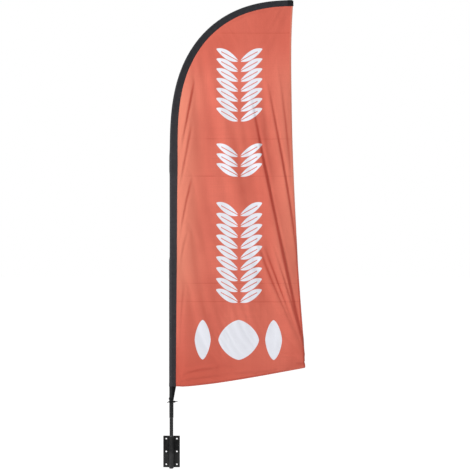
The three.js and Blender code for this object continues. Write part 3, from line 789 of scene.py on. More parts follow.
SLEEVE_GREY = (0.044, 0.042, 0.048)
SLEEVE_BEND_SHADE = (0.026, 0.0265, 0.031)
END_BLACK = (0.012, 0.0115, 0.013)
WEBBING_BLACK = (0.009, 0.009, 0.010)
CORD_BLACK = (0.008, 0.008, 0.009)
BEND_SHADE_FROM, BEND_SHADE_TO = 1.1, 2.0  # metres along the sleeve, over which painted shade darkens the bend
sleeve_cloth = woven(
    "sleeve_cloth", SLEEVE_GREY, 1500.0, 0.09 * MM, 0.03,
    deeper=(SLEEVE_BEND_SHADE, BEND_SHADE_FROM, BEND_SHADE_TO),
)
patch_cloth = woven("patch_cloth", END_BLACK, 1500.0, 0.09 * MM, 0.02)
webbing = woven("webbing", WEBBING_BLACK, 620.0, 0.3 * MM, 0.02, dust_amount=0.1)
cord_braid = woven("cord_braid", CORD_BLACK, 700.0, 0.2 * MM, 0.02, dust_amount=0.1)
print("black cloths:", sleeve_cloth.name, patch_cloth.name, webbing.name, cord_braid.name)


# %% Threads
def thread_finish(name, colour):
    material, tree, shader = new_finish(name, colour, 0.6, Sheen_Weight=0.1)
    place = coordinates(tree)
    twist = noise(tree, place, 1400.0, 2.0)
    paler = tuple(c * 1.3 for c in colour)
    tree.links.new(blend_colours(tree, twist, colour, paler), shader.inputs["Base Color"])
    tree.links.new(op(tree, "MULTIPLY_ADD", twist, 0.2, 0.5), shader.inputs["Roughness"])
    return material


black_thread = thread_finish("black_thread", (0.03, 0.03, 0.033))
red_thread = thread_finish("red_thread", (0.58, 0.12, 0.09))
print("threads:", black_thread.name, red_thread.name)


# %% [markdown]
# ## The sleeve
# The sleeve is a long strip of black cloth folded round the pole and sewn to the panel. It lies
# on the tube like a drop in section: round over the pole, flat where its two layers run
# together, and closed at the seam. It is sewn to a fixed width, so it steps in where the pole
# thins, and the inside of the bend has cloth to spare, which gathers into small puckers.
# A simulation would spend its time finding this same stretched shape, so it is drawn directly:
# rings of points along the line, with puckers that grow where the line curves.

# %% The sleeve's section
EASE = 0.4 * MM
SLEEVE_CLOTH = 0.6 * MM
SEAM_THICKNESS = 2.0 * MM
REACH_FOOT = 27 * MM  # from the pole's axis to the seam, at the foot
REACH_BEND = 38 * MM  # where the bend begins
REACH_END = 31 * MM  # at the sleeve's end
ROD_TIP_RADIUS = 3 * MM
CAP_ROOM = 1.5 * MM
SLEEVE_SLACK = 2.0 * MM
STEP_IN = 26 * MM  # how soon the cloth comes down onto a thinner tube
MOUTH_HEM = 20 * MM
BASE_RADIUS = (POLE_BOX[1].y - POLE_BOX[0].y) / 2
MID_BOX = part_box("mid_tube")
MID_RADIUS = (MID_BOX[1].y - MID_BOX[0].y) / 2
COLLAR_RADIUS = (COLLAR_BOX[1].y - COLLAR_BOX[0].y) / 2
ROD_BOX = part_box("tip_rod")
ROD_FOOT_RADIUS = (ROD_BOX[1].y - ROD_BOX[0].y) / 2


def bend_share(along):
    return np.clip((along - STRAIGHT_LENGTH) / BEND_LENGTH, 0, 1)


def pole_radius(along):
    """The radius that the sleeve lies on."""
    height = FLAG_FOOT + along
    bent = bend_share(along)
    slack = SLEEVE_SLACK * (1 - smooth(bent, 0, 0.9))
    on_rod = ROD_FOOT_RADIUS + (ROD_TIP_RADIUS - ROD_FOOT_RADIUS) * bent + CAP_ROOM + slack
    ferrule_top = FERRULE_BOX[1].z
    radius = BASE_RADIUS + (MID_RADIUS - BASE_RADIUS) * smooth(height, ferrule_top, ferrule_top + STEP_IN)
    on_collar = smooth(height, COLLAR_BOX[0].z - STEP_IN, COLLAR_BOX[0].z - 2 * MM)
    radius = radius + (COLLAR_RADIUS - radius) * on_collar
    radius = radius + (on_rod - radius) * smooth(height, BEND_START + 6 * MM, BEND_START + 3 * STEP_IN)
    return radius + EASE + SLEEVE_CLOTH


def seam_reach(along):
    straight = np.clip(along / STRAIGHT_LENGTH, 0, 1)
    foot = REACH_FOOT + (REACH_BEND - REACH_FOOT) * straight
    return foot + (REACH_END - foot) * bend_share(along)


def pucker(along, phase):
    """A ripple along the seam: two waves of cloth that drift in and out of step."""
    wander = 2.1 * np.sin(along / 0.171 + phase) + 1.3 * np.sin(along / 0.067 + 2.3 * phase)
    first = np.sin(along * 2 * np.pi / 0.029 + wander)
    second = np.sin(along * 2 * np.pi / 0.047 + 1.7 * wander + phase)
    swell = 0.55 + 0.45 * np.sin(along / 0.113 + 1.9 * phase)
    return (0.6 * first + 0.4 * second) * swell


POLE_POINTS = 25
FLAT_POINTS = 7
SEAM_POINTS = 3
LEAST_GATHER = 0.45 * MM
MORE_GATHER = 0.9 * MM  # where the line curves
HOLLOW = 0.5 * MM  # how far the two layers draw in between the pole and the seam
FRONT_PHASE, BACK_PHASE = 0.4, 2.9


def sleeve_ring(along, extra=0.0, pinch=0.0):
    """One ring round the sleeve. extra stands it off, and pinch closes it, for the sewn end."""
    seam_radius = SEAM_THICKNESS / 2 + extra
    radius = (pole_radius(along) + extra) * (1 - pinch) + seam_radius * pinch
    seam_at = seam_reach(along) - SEAM_THICKNESS / 2
    tangent = math.acos((radius - seam_radius) / seam_at)
    curve = np.interp(along, LINE_ALONG[1:], np.gradient(LINE_SLOPE[1:], LINE_ALONG[1:]))
    gather = LEAST_GATHER + MORE_GATHER * smooth(curve, 0.1, 2.2)

    def flat_side(turn, phase):
        """The cloth from the pole to the seam: turn is -1 in front and 1 behind."""
        pole_end = radius * math.cos(tangent)
        seam_end = seam_at + seam_radius * math.cos(tangent)
        for i in range(1, FLAT_POINTS + 1):
            share = i / (FLAT_POINTS + 1)
            ripple = gather * float(pucker(along, phase)) - HOLLOW
            ripple = math.sin(math.pi * share) * ripple * (1 - pinch)
            stand = ((1 - share) * radius + share * seam_radius) * math.sin(tangent)
            yield (1 - share) * pole_end + share * seam_end, turn * (stand + ripple)

    pole_angles = np.linspace(tangent, 2 * np.pi - tangent, POLE_POINTS)
    seam_angles = np.linspace(-tangent, tangent, SEAM_POINTS)
    ring = [(radius * math.cos(a), radius * math.sin(a)) for a in pole_angles]
    ring += flat_side(-1, FRONT_PHASE)
    ring += [(seam_at + seam_radius * math.cos(a), seam_radius * math.sin(a)) for a in seam_angles]
    ring += list(flat_side(1, BACK_PHASE))[::-1]
    across, depth = np.array(ring).T
    return beside(along, across, depth)


print("pole radii", round(BASE_RADIUS, 4), "then", round(MID_RADIUS, 4), "m")


# %% Sew the sleeve
RING_STEP = 7 * MM
POCKET_LENGTH = 26 * MM
pocket_foot = SLEEVE_LENGTH - POCKET_LENGTH
sleeve_stops = np.unique(np.concatenate([
    np.linspace(0, pocket_foot, round(pocket_foot / RING_STEP)),
    MOUTH_HEM + np.array([-0.5, 0.5]) * MM,
]))
sleeve_rows = [sleeve_ring(a, extra=SLEEVE_CLOTH * float(a < MOUTH_HEM)) for a in sleeve_stops]
sleeve = skin("sewn_sleeve", sleeve_rows, sleeve_cloth)
usual_ring = sleeve_rows[60]
usual_ring = np.vstack([usual_ring, usual_ring[:1]])
sleeve_width = float(np.linalg.norm(np.diff(usual_ring, axis=0), axis=1).sum())
thicken(sleeve, SLEEVE_CLOTH, offset=-1)
print("sleeve", len(sleeve.data.vertices), "points,", round(sleeve_width, 4), "m round")


# %% [markdown]
# ## The closed end of the sleeve
# The rod's cap presses into the end of the sleeve, so the end is doubled with a patch and sewn
# shut. The rings go on past the sleeve, stand off it by the patch's thickness, and pinch down
# to a flat, sewn edge.

# %% The doubled end
POCKET_LAP = 8 * MM
PATCH_CLOTH = 0.7 * MM
PATCH_STAND = 0.75 * MM  # how far the patch stands off the sleeve's line
CLOSE_FROM, CLOSE_TO = 11 * MM, 2 * MM  # where the end pinches shut, back from its edge
pocket_rows = []
for a in np.linspace(pocket_foot - POCKET_LAP, SLEEVE_LENGTH, 22):
    closing = float(smooth(a, SLEEVE_LENGTH - CLOSE_FROM, SLEEVE_LENGTH - CLOSE_TO))
    pocket_rows.append(sleeve_ring(a, extra=PATCH_STAND, pinch=closing))
pocket = skin("sleeve_end_patch", pocket_rows, patch_cloth)
thicken(pocket, PATCH_CLOTH, offset=-1)
print("the end patch has", len(pocket_rows), "rings")


# %% [markdown]
# ## The panel is cut flat
# The panel is knitted polyester, cut to the bent pole's curve and a little larger than the space
# it hangs in. It starts as a flat outline: up the sleeve's seam, down the outer edge, which is
# cut slightly hollow so that it doesn't flap, and back along the foot.
# A cloth folds well only when its triangles have no grain, so the outline is filled with
# staggered points and joined by Delaunay triangles.

# %% The panel's outline
TOP_TUCK = 3 * MM  # the top corner ends just inside the sleeve's sewn end
PANEL_LENGTH = SLEEVE_LENGTH - TOP_TUCK
FOOT_WIDTH = 0.807
FOOT_RISE = 0.113
FOOT_SAG = 9 * MM
OUTER_BOW = 31 * MM
TOP_BOW = 1.6  # the hollow is fuller just below the top
SEAM_TUCK = 3.5 * MM  # how far the panel goes in between the sleeve's layers
HEM_WIDTH = 10 * MM
GRID_STEP = 9.5 * MM
CORNER = np.array([FOOT_WIDTH, FLAG_FOOT + FOOT_RISE])
CUT_WIDER = 1.022
CUT_LONGER = 1.005


def flat_point(points):
    return np.asarray(points)[..., [0, 2]]


def seam_edge(share):
    along = share * PANEL_LENGTH
    return flat_point(beside(along, seam_reach(along) - SEAM_TUCK))


def outer_edge(share):
    share = np.asarray(share)[..., None]
    edge = CORNER + (seam_edge(np.array(1.0)) - CORNER) * share
    edge[..., 0:1] -= OUTER_BOW * np.sin(np.pi * share) * (1 + TOP_BOW * share**6)
    return edge


def foot_edge(share):
    share = np.asarray(share)[..., None]
    edge = seam_edge(np.zeros(1)) + (CORNER - seam_edge(np.zeros(1))) * share
    edge[..., 1:2] -= FOOT_SAG * np.sin(np.pi * share**0.6)
    return edge


def shares(length, ends=True):
    return np.linspace(0, 1, max(2, round(length / GRID_STEP)))[: None if ends else -1]


FOOT_LENGTH = 0.79  # roughly, to space the points
OUTER_LENGTH = 2.18
outline = np.concatenate([
    foot_edge(shares(FOOT_LENGTH, ends=False)),
    outer_edge(shares(OUTER_LENGTH, ends=False)),
    seam_edge(1 - shares(PANEL_LENGTH, ends=False)),
])
print("outline of", len(outline), "points")


# %% Fill it with staggered points
def away_from(points, line):
    """How far each point lies from an open line of points."""
    nearest = np.full(len(points), np.inf)
    for a, b in zip(line[:-1], line[1:]):
        edge = b - a
        share = np.clip(((points - a) @ edge) / (edge @ edge), 0, 1)
        nearest = np.minimum(nearest, np.linalg.norm(points - a - share[:, None] * edge, axis=1))
    return nearest


def inside(points, loop):
    """Which points lie inside a closed loop: those with an odd number of edges to one side."""
    crossings = np.zeros(len(points), int)
    for a, b in zip(loop, np.roll(loop, -1, axis=0)):
        spans = (a[1] > points[:, 1]) != (b[1] > points[:, 1])
        if a[1] != b[1]:
            crossing = a[0] + (points[:, 1] - a[1]) * (b[0] - a[0]) / (b[1] - a[1])
            crossings += spans & (points[:, 0] < crossing)
    return crossings % 2 == 1


row_gap = GRID_STEP * math.sqrt(3) / 2
low, high = outline.min(axis=0), outline.max(axis=0)
filling = []
for i, z in enumerate(np.arange(low[1], high[1], row_gap)):
    x = np.arange(low[0] + (i % 2) * GRID_STEP / 2, high[0], GRID_STEP)
    filling.append(np.stack([x, np.full_like(x, z)], axis=1))
filling = np.concatenate(filling)
from_outline = away_from(filling, np.vstack([outline, outline[:1]]))
CLEAR_OF_EDGE = 0.55  # share of a step, so that no triangle is a sliver
filling = filling[inside(filling, outline) & (from_outline > CLEAR_OF_EDGE * GRID_STEP)]
corners = [Vector(p) for p in np.concatenate([outline, filling])]
ring = list(range(len(outline)))
cut_points, _, cut_faces, *_ = delaunay_2d_cdt(corners, [], [ring], 1, 1e-6)
hung_flat = np.array([tuple(p) for p in cut_points])
cut_faces = [tuple(f) for f in cut_faces]
rise_across = hung_flat[list(cut_faces[0])]
turn_way = np.cross(rise_across[1] - rise_across[0], rise_across[2] - rise_across[0])
if turn_way > 0:
    cut_faces = [f[::-1] for f in cut_faces]
print("panel of", len(hung_flat), "points and", len(cut_faces), "triangles")


# %% [markdown]
# ## The panel is hung
# The bent rod pulls the cloth up and out, the foot corner is the furthest point from it, and
# slack cloth falls into long folds that run from the bend down to that corner. The folds are
# listed one by one, as low ridges with one steep side. The cloth solver is then given the
# real, larger cut as the rest shape: it has too much cloth for the space, keeps the ridges, and
# works the spare width into smaller folds between them and along the seam.

# %% Lay the folds
FURROW_DEPTH = 0.3  # a shallow furrow runs along each steep side: its share of the height
FURROW_AWAY = 1.7  # how far off it lies, and how wide it is, in steep widths
FURROW_WIDTH = 0.8
FADE_IN = 1.1  # a fold comes up slowly at its start and stops sooner at its end
FADE_OUT = 0.45


class Fold:
    """A ridge through three places on the hung panel, in metres: its height, and the width of its
    gentle side and of its steep side."""

    def __init__(self, start, middle, end, height, gentle, steep):
        start, middle, end = (np.array(p) for p in (start, middle, end))
        t = np.linspace(0, 1, 40)[:, None]
        pull = 2 * middle - (start + end) / 2
        self.line = (1 - t) ** 2 * start + 2 * t * (1 - t) * pull + t**2 * end
        self.height, self.gentle, self.steep = height, gentle, steep

    def lift(self, points):
        best = np.full(len(points), 1e9)
        raised = np.zeros(len(points))
        for i in range(len(self.line) - 1):
            a, edge = self.line[i], self.line[i + 1] - self.line[i]
            share = np.clip(((points - a) @ edge) / (edge @ edge), 0, 1)
            away = points - a - share[:, None] * edge
            distance = np.linalg.norm(away, axis=1)
            side = np.sign(edge[0] * away[:, 1] - edge[1] * away[:, 0])
            width = np.where(side > 0, self.steep, self.gentle)
            place = (i + share) / (len(self.line) - 1)
            fade = np.sin(np.pi * np.clip(0.04 + 0.92 * place, 0, 1))
            fade = fade ** np.where(place < 0.5, FADE_IN, FADE_OUT)
            in_furrow = (distance - FURROW_AWAY * self.steep) / (FURROW_WIDTH * self.steep)
            furrow = np.where(side > 0, np.exp(-(in_furrow**2)), 0)
            value = fade * (np.exp(-((distance / width) ** 2)) - FURROW_DEPTH * furrow)
            closer = distance < best
            raised = np.where(closer, value, raised)
            best = np.minimum(best, distance)
        return self.height * raised


FOLDS = [
    Fold((0.47, 2.15), (0.624, 1.38), (0.798, 0.60), 22 * MM, 42 * MM, 8 * MM),
    Fold((0.56, 2.26), (0.670, 1.70), (0.752, 1.15), 14 * MM, 28 * MM, 7 * MM),
    Fold((0.62, 2.40), (0.678, 1.98), (0.712, 1.62), 5 * MM, 20 * MM, 8 * MM),
    Fold((0.49, 1.29), (0.628, 0.955), (0.795, 0.56), 18 * MM, 27 * MM, 11 * MM),
    Fold((0.55, 1.23), (0.668, 0.925), (0.797, 0.57), 15 * MM, 18 * MM, 9 * MM),
    Fold((0.60, 1.26), (0.692, 0.965), (0.795, 0.62), 13 * MM, 16 * MM, 8 * MM),
    Fold((0.63, 0.60), (0.72, 0.570), (0.80, 0.53), 7 * MM, 8 * MM, 14 * MM),
    Fold((0.66, 0.70), (0.735, 0.625), (0.80, 0.54), 6 * MM, 12 * MM, 8 * MM),
    Fold((0.135, 2.26), (0.090, 2.03), (0.045, 1.78), 10 * MM, 18 * MM, 8 * MM),
    Fold((0.115, 1.98), (0.080, 1.79), (0.042, 1.60), 10 * MM, 17 * MM, 8 * MM),
    Fold((0.125, 1.68), (0.075, 1.47), (0.040, 1.26), 10 * MM, 17 * MM, 8 * MM),
    Fold((0.105, 1.38), (0.062, 1.22), (0.038, 1.05), 8 * MM, 14 * MM, 8 * MM),
    Fold((0.070, 1.02), (0.052, 0.84), (0.040, 0.62), 6 * MM, 13 * MM, 8 * MM),
    Fold((0.030, 0.42), (0.20, 0.462), (0.62, 0.500), 11 * MM, 8 * MM, 18 * MM),
    Fold((0.040, 0.44), (0.12, 0.490), (0.27, 0.510), 8 * MM, 8 * MM, 15 * MM),
    Fold((0.16, 2.32), (0.30, 2.05), (0.36, 1.70), 4 * MM, 40 * MM, 30 * MM),
    Fold((0.15, 1.02), (0.17, 0.86), (0.24, 0.72), 3 * MM, 30 * MM, 20 * MM),
]
BILLOW = 11 * MM
BELLY = 9 * MM  # how far the cloth stands forward just beside the sleeve
BILLOW_WAVE = 0.9
x, z = hung_flat.T
reach = np.clip((x - REACH_BEND) / (FOOT_WIDTH / 2), 0, 1)
depth = BILLOW * reach * np.sin(2 * np.pi * (z - FLAG_FOOT - x / 2) / BILLOW_WAVE)
from_seam = away_from(hung_flat, seam_edge(np.linspace(0, 1, 300)))
belly_end = 1 - smooth(from_seam, 60 * MM, 330 * MM)
depth -= BELLY * smooth(from_seam, 0, 75 * MM) * belly_end
for fold in FOLDS:
    depth -= fold.lift(hung_flat)
from_corner = np.linalg.norm(hung_flat - CORNER, axis=1)
depth *= smooth(from_seam, 0, 30 * MM) * smooth(from_corner, 0, 70 * MM)
print("folds between", round(depth.min(), 4), "and", round(depth.max(), 4), "m")


# %% [markdown]
# ## The panel's mesh
# The print has to bend with the cloth, so it is placed by the flat cut and not by where the cloth
# has gone. A UV map carries each point's flat place, in metres, through everything that follows.

# %% The laid panel, with its flat places
panel_points = [(a, AXIS_Y + d, b) for (a, b), d in zip(hung_flat, depth)]
panel = add_mesh("knitted_panel", panel_points, cut_faces)
cut_layer = panel.data.uv_layers.new(name=CUT)
loop_points = np.zeros(len(panel.data.loops), int)
panel.data.loops.foreach_get("vertex_index", loop_points)
cut_layer.data.foreach_set("uv", hung_flat[loop_points].astype(np.float32).ravel())
print("the print's map holds", len(loop_points), "corners")


# %% [markdown]
# ## Letting it settle
# The seam is pinned to the sleeve. The foot corner and the outer edge are held softly, since
# that is where moving air carries the cloth outwards. Everything else is free. About a second
# of motion with strong damping is enough: the folds should settle, not travel.

# %% Cloth settings
SETTLE_FRAMES = 26
CALM = 0.12  # share of gravity: the moving air carries the rest
FREE_HOLD = 0.02
CORNER_HOLD = 0.5
EDGE_HOLD = 0.25
from_outer = away_from(hung_flat, outer_edge(np.linspace(0, 1, 200)))
hold = np.where(from_seam < 1.5 * MM, 1.0, FREE_HOLD)
hold = np.maximum(hold, CORNER_HOLD * (1 - smooth(from_corner, 8 * MM, 60 * MM)))
hold = np.maximum(hold, EDGE_HOLD * (1 - smooth(from_outer, 4 * MM, 30 * MM)))


def settle(piece):
    piece.shape_key_add(name="hung")
    rest = piece.shape_key_add(name="flat cut")
    cut_x, cut_z = hung_flat[:, 0] * CUT_WIDER, hung_flat[:, 1] * CUT_LONGER
    flat = np.stack([cut_x, np.full(len(hung_flat), AXIS_Y), cut_z], axis=1)
    rest.data.foreach_set("co", flat.ravel())
    group = piece.vertex_groups.new(name="held")
    for i, weight in enumerate(hold):
        group.add([i], float(weight), "REPLACE")
    cloth = piece.modifiers.new("Cloth", "CLOTH")
    setup = cloth.settings
    setup.quality = 8
    setup.mass = 0.12
    setup.tension_stiffness = 40
    setup.compression_stiffness = 40
    setup.shear_stiffness = 12
    setup.bending_stiffness = 0.25
    setup.tension_damping = 12
    setup.compression_damping = 12
    setup.shear_damping = 8
    setup.bending_damping = 0.8
    setup.air_damping = 4
    setup.vertex_group_mass = "held"
    setup.pin_stiffness = 0.6
    setup.rest_shape_key = rest
    setup.effector_weights.gravity = CALM
    cloth.collision_settings.use_collision = False
    cloth.point_cache.frame_start = 1
    cloth.point_cache.frame_end = SETTLE_FRAMES
    for number in range(1, SETTLE_FRAMES + 1):
        bpy.context.scene.frame_set(number)
    apply_modifiers(piece)
    bpy.context.scene.frame_set(1)


settle(panel)
print("the sheet is held by", round(hold.min(), 3), "to", round(hold.max(), 3))

# %% Keep the cloth in the depth it hangs in, then refine and thicken it
DEPTH_LIMIT = 27 * MM
KNIT_THICKNESS = 0.45 * MM
panel.data.shade_smooth()
settled = np.zeros(len(panel.data.vertices) * 3)
panel.data.vertices.foreach_get("co", settled)
settled = settled.reshape(-1, 3)
moved = np.linalg.norm(settled[:, [0, 2]] - hung_flat, axis=1)
print("settling moved the cloth by up to", round(moved.max(), 4), "m")
print("it hangs within", np.ptp(settled[:, 1]).round(4), "m of depth")
settled[:, 1] = AXIS_Y + DEPTH_LIMIT * np.tanh((settled[:, 1] - AXIS_Y) / DEPTH_LIMIT)
panel.data.vertices.foreach_set("co", settled.ravel())
finer = panel.modifiers.new("Finer", "SUBSURF")
finer.levels = 1
finer.render_levels = 1
apply_modifiers(panel)


# %% [markdown]
# ## Finding a place on the hung cloth
# Hems and stitches belong to places on the flat cut, wherever the cloth has gone. Each flat
# place is found by its nearest points of the cut, and moves as they moved.

# %% From the flat cut to the hung cloth
def flat_map(piece):
    mesh = piece.data
    count = len(mesh.vertices)
    place = np.zeros(count * 3)
    facing = np.zeros(count * 3)
    mesh.vertices.foreach_get("co", place)
    mesh.vertices.foreach_get("normal", facing)
    flat = np.zeros((count, 2))
    loops = np.zeros(len(mesh.loops), int)
    mesh.loops.foreach_get("vertex_index", loops)
    uv = np.zeros(len(mesh.loops) * 2)
    mesh.uv_layers[CUT].data.foreach_get("uv", uv)
    flat[loops] = uv.reshape(-1, 2)
    tree = KDTree(count)
    for i, (a, b) in enumerate(flat):
        tree.insert((a, b, 0), i)
    tree.balance()
    return place.reshape(-1, 3), facing.reshape(-1, 3), flat, tree


PLACE, FACING, FLAT, TREE = flat_map(panel)


def on_cloth(points):
    """Where flat places lie on the hung cloth, and which way the cloth faces there."""
    places, normals = [], []
    for a, b in np.atleast_2d(points):
        found = TREE.find_n((a, b, 0), 6)
        index = np.array([f[1] for f in found])
        weight = 1 / (np.array([f[2] for f in found]) ** 2 + 1e-9)
        near = FLAT[index]
        local = np.column_stack([np.ones(len(index)), near - (a, b)])
        fit = np.linalg.lstsq(local * weight[:, None], PLACE[index] * weight[:, None], rcond=None)[0]
        facing = (FACING[index] * weight[:, None]).sum(axis=0)
        places.append(fit[0])
        normals.append(facing / np.linalg.norm(facing))
    return np.array(places), np.array(normals)


# %% [markdown]
# ## Light inside a fold
# Light that goes into a fold comes back through dyed cloth, so a fold's shaded side is a deeper
# red and not just a darker one. How far each point leans towards the outer edge, away from the
# key light, is stored on the mesh as one number, and the knit's finish reads it. The cloth is
# given its thickness last, so that both its faces carry that number.

# %% How far each point leans towards the outer edge
LEAN = "lean"
forward = np.where(FACING[:, 1:2] < 0, FACING, -FACING)
lean = panel.data.attributes.new(LEAN, "FLOAT", "POINT")
lean.data.foreach_set("value", np.clip(forward[:, 0] - 0.4 * forward[:, 2], 0, 1).astype(np.float32))
thicken(panel, KNIT_THICKNESS, offset=0)
print("panel", len(panel.data.vertices), "points")


# %% [markdown]
# ## The printed knit
# The cloth is dyed through, so its red varies a little with every course of the knit and with
# the light that comes through it. The white motif is printed on it: a column of paired leaves
# in three groups, over a row of rounded diamonds. Both are plain shapes worked out from the flat
# cut's coordinates, so they bend with the folds. The ink soaks the yarn, so its edge is soft by
# about a stitch, and the knit still shows through it.
# The cloth beside the sleeve and the outer edge is painted paler, as painted light, and towards
# the foot and the top it is painted a deeper red, as painted shade. Both are places on the flat
# cut, so they turn with the flag.

# %% The leaves and diamonds
STEM_GAP = 6 * MM  # from the column's middle to where a leaf starts
INK_SOFTNESS = 0.8 * MM
VEIN_LENGTH = 0.78  # as a share of the leaf


def make_leaves():
    """Pairs of leaves on a column. Each leaf lies along a row that slants up from the middle."""
    inputs = {
        "Middle": 0.4, "First": 0.87, "Pitch": 0.13, "Pairs": 5.0,
        "Length": 0.13, "Half Width": 0.03, "Tilt": 0.4, "Vein": 0.003,
    }
    group, given, result = new_group("leaf_pairs", inputs, ["Mask"])
    x, z, _ = split(group, given["Vector"])
    out = op(group, "ABSOLUTE", op(group, "SUBTRACT", x, given["Middle"]))
    cosine = op(group, "COSINE", given["Tilt"])
    slant = op(group, "MULTIPLY", out, op(group, "TANGENT", given["Tilt"]))
    height = op(group, "SUBTRACT", op(group, "SUBTRACT", z, given["First"]), slant)
    steps = op(group, "DIVIDE", height, given["Pitch"])
    number = op(group, "FLOOR", steps)
    past_first = op(group, "GREATER_THAN", number, -0.5)
    before_last = op(group, "LESS_THAN", number, op(group, "SUBTRACT", given["Pairs"], 0.5))
    allowed = op(group, "MULTIPLY", past_first, before_last)
    up = op(group, "SUBTRACT", op(group, "SUBTRACT", steps, number), 0.5)
    aside = op(group, "MULTIPLY", op(group, "MULTIPLY", up, given["Pitch"]), cosine)
    forward = op(group, "SUBTRACT", op(group, "DIVIDE", out, cosine), STEM_GAP)
    share = op(group, "DIVIDE", forward, given["Length"], clamp=True)
    belly = op(group, "POWER", op(group, "SINE", op(group, "MULTIPLY", share, math.pi)), 0.75)
    edge = op(group, "MULTIPLY", belly, given["Half Width"])
    off = op(group, "ABSOLUTE", aside)
    leaf = ramp(group, op(group, "SUBTRACT", edge, off), -INK_SOFTNESS, INK_SOFTNESS)
    leaf = op(group, "MULTIPLY", leaf, ramp(group, share, 0.0, 0.02))
    leaf = op(group, "MULTIPLY", leaf, ramp(group, share, 1.0, 0.98))
    vein_end = op(group, "LESS_THAN", share, VEIN_LENGTH)
    vein_edge = op(group, "MULTIPLY", given["Vein"], 1.3)
    vein = op(group, "MULTIPLY", ramp(group, off, vein_edge, given["Vein"]), vein_end)
    whole = op(group, "MULTIPLY", leaf, op(group, "SUBTRACT", 1.0, vein))
    group.links.new(op(group, "MULTIPLY", whole, allowed), result["Mask"])
    return group


def make_diamond():
    inputs = {"Middle X": 0.4, "Middle Z": 0.67, "Half X": 0.1, "Half Z": 0.12, "Power": 1.5}
    group, given, result = new_group("rounded_diamond", inputs, ["Mask"])
    x, z, _ = split(group, given["Vector"])
    powers = []
    for place, way in ((x, "X"), (z, "Z")):
        from_middle = op(group, "SUBTRACT", place, given[f"Middle {way}"])
        away = op(group, "ABSOLUTE", op(group, "DIVIDE", from_middle, given[f"Half {way}"]))
        powers.append(op(group, "POWER", away, given["Power"]))
    total = op(group, "ADD", *powers)
    group.links.new(ramp(group, total, 1.012, 0.988), result["Mask"])
    return group


LEAVES = make_leaves()
DIAMOND = make_diamond()
print("print groups:", LEAVES.name, "and", DIAMOND.name)

# %% Where they are printed
LEAF_COLUMN = 0.408
LEAF_GROUPS = [(0.868, 0.065, 9), (1.626, 0.059, 3), (1.957, 0.0595, 7)]  # first, pitch, pairs
LEAF_FULLNESS = 0.41  # half a leaf's width as a share of the pitch
DIAMONDS = [(0.190, 0.048), (0.407, 0.122), (0.617, 0.050)]  # middle, half width
DIAMOND_MIDDLE = 0.676
DIAMOND_HALF = 0.119
PACKING_CREASES = [0.905, 1.015, 1.657, 1.881, 2.515]


CREASE_WIDTH = 4.5 * MM
LEAF_LENGTH = 0.152
LEAF_TILT = 0.50  # radians above level
VEIN_WIDTH = 2.2 * MM
DIAMOND_POWER = 1.55  # 1 is a plain diamond, and 2 an ellipse


def tint(colour, *parts):
    return tuple(min(1, c * part) for c, part in zip(colour, parts))


def dyed(tree, flat, knit, red):
    """The knit's red: a little uneven from place to place, and darker between the loops."""
    dye = noise(tree, flat, 4.2, 4.0, 0.55)
    through = noise(tree, stretch(tree, flat, (2.6, 1.0, 1.0)), 2.0, 2.0)
    paler = tuple(min(1, c * 1.12 + 0.012) for c in red)
    base = blend_colours(tree, ramp(tree, dye, 0.3, 0.7), red, tint(red, 0.90, 0.80, 0.82))
    base = blend_colours(tree, ramp(tree, through, 0.35, 0.75), base, paler)
    between_loops = ramp(tree, knit["Shade"], 0.3, 0.7, 0.0, 0.45)
    return blend_colours(tree, between_loops, base, tint(red, 0.84, 0.84, 0.84))


def packing_creases(tree, flat, v):
    """Thin level lines where the cloth lay folded in its packet, worn away in places."""
    crease = 0.0
    for height in PACKING_CREASES:
        away = op(tree, "ABSOLUTE", op(tree, "SUBTRACT", v, height))
        crease = op(tree, "MAXIMUM", ramp(tree, away, CREASE_WIDTH, 0.0), crease)
    worn = ramp(tree, noise(tree, flat, 5.0, 3.0), 0.32, 0.55)
    return op(tree, "MULTIPLY", crease, worn)


def painted_glow_and_shade(tree, base, u, v, red):
    """Painted light: paler beside the seam and the outer edge. Painted shade: a deeper red towards the
    foot and the top.
    """
    middle_height = op(tree, "MULTIPLY", ramp(tree, v, 0.75, 1.15), ramp(tree, v, 2.5, 2.1))
    beside_seam = op(tree, "MULTIPLY", ramp(tree, u, 0.24, 0.03), middle_height)
    weaker = op(tree, "MULTIPLY", middle_height, 0.5)
    beside_edge = op(tree, "MULTIPLY", ramp(tree, u, 0.55, 0.72), weaker)
    # Painted light: beside the seam and the outer edge, in the panel's middle height, the red is painted
    # paler.
    painted_glow = op(tree, "MULTIPLY", op(tree, "MAXIMUM", beside_seam, beside_edge), 0.85)
    base = blend_colours(tree, painted_glow, base, tint(red, 1.05, 1.48, 1.46))
    # Painted shade: towards the foot, most on the seam's side, and at the top, the red is painted deeper.
    near_foot = op(tree, "MULTIPLY", ramp(tree, v, 0.80, 0.42), ramp(tree, u, 0.62, 0.1, 0.35, 1.0))
    near_top = op(tree, "MULTIPLY", ramp(tree, v, 2.2, 2.5), 0.45)
    full = op(tree, "MAXIMUM", near_foot, near_top)
    return blend_colours(tree, full, base, tint(red, 0.86, 0.68, 0.66))


def inside_folds(tree, base, red):
    lean = tree.nodes.new("ShaderNodeAttribute")
    lean.attribute_name = LEAN
    shaded = op(tree, "MULTIPLY", ramp(tree, lean.outputs["Fac"], 0.10, 0.62), 0.6)
    return blend_colours(tree, shaded, base, tint(red, 0.94, 0.42, 0.38))


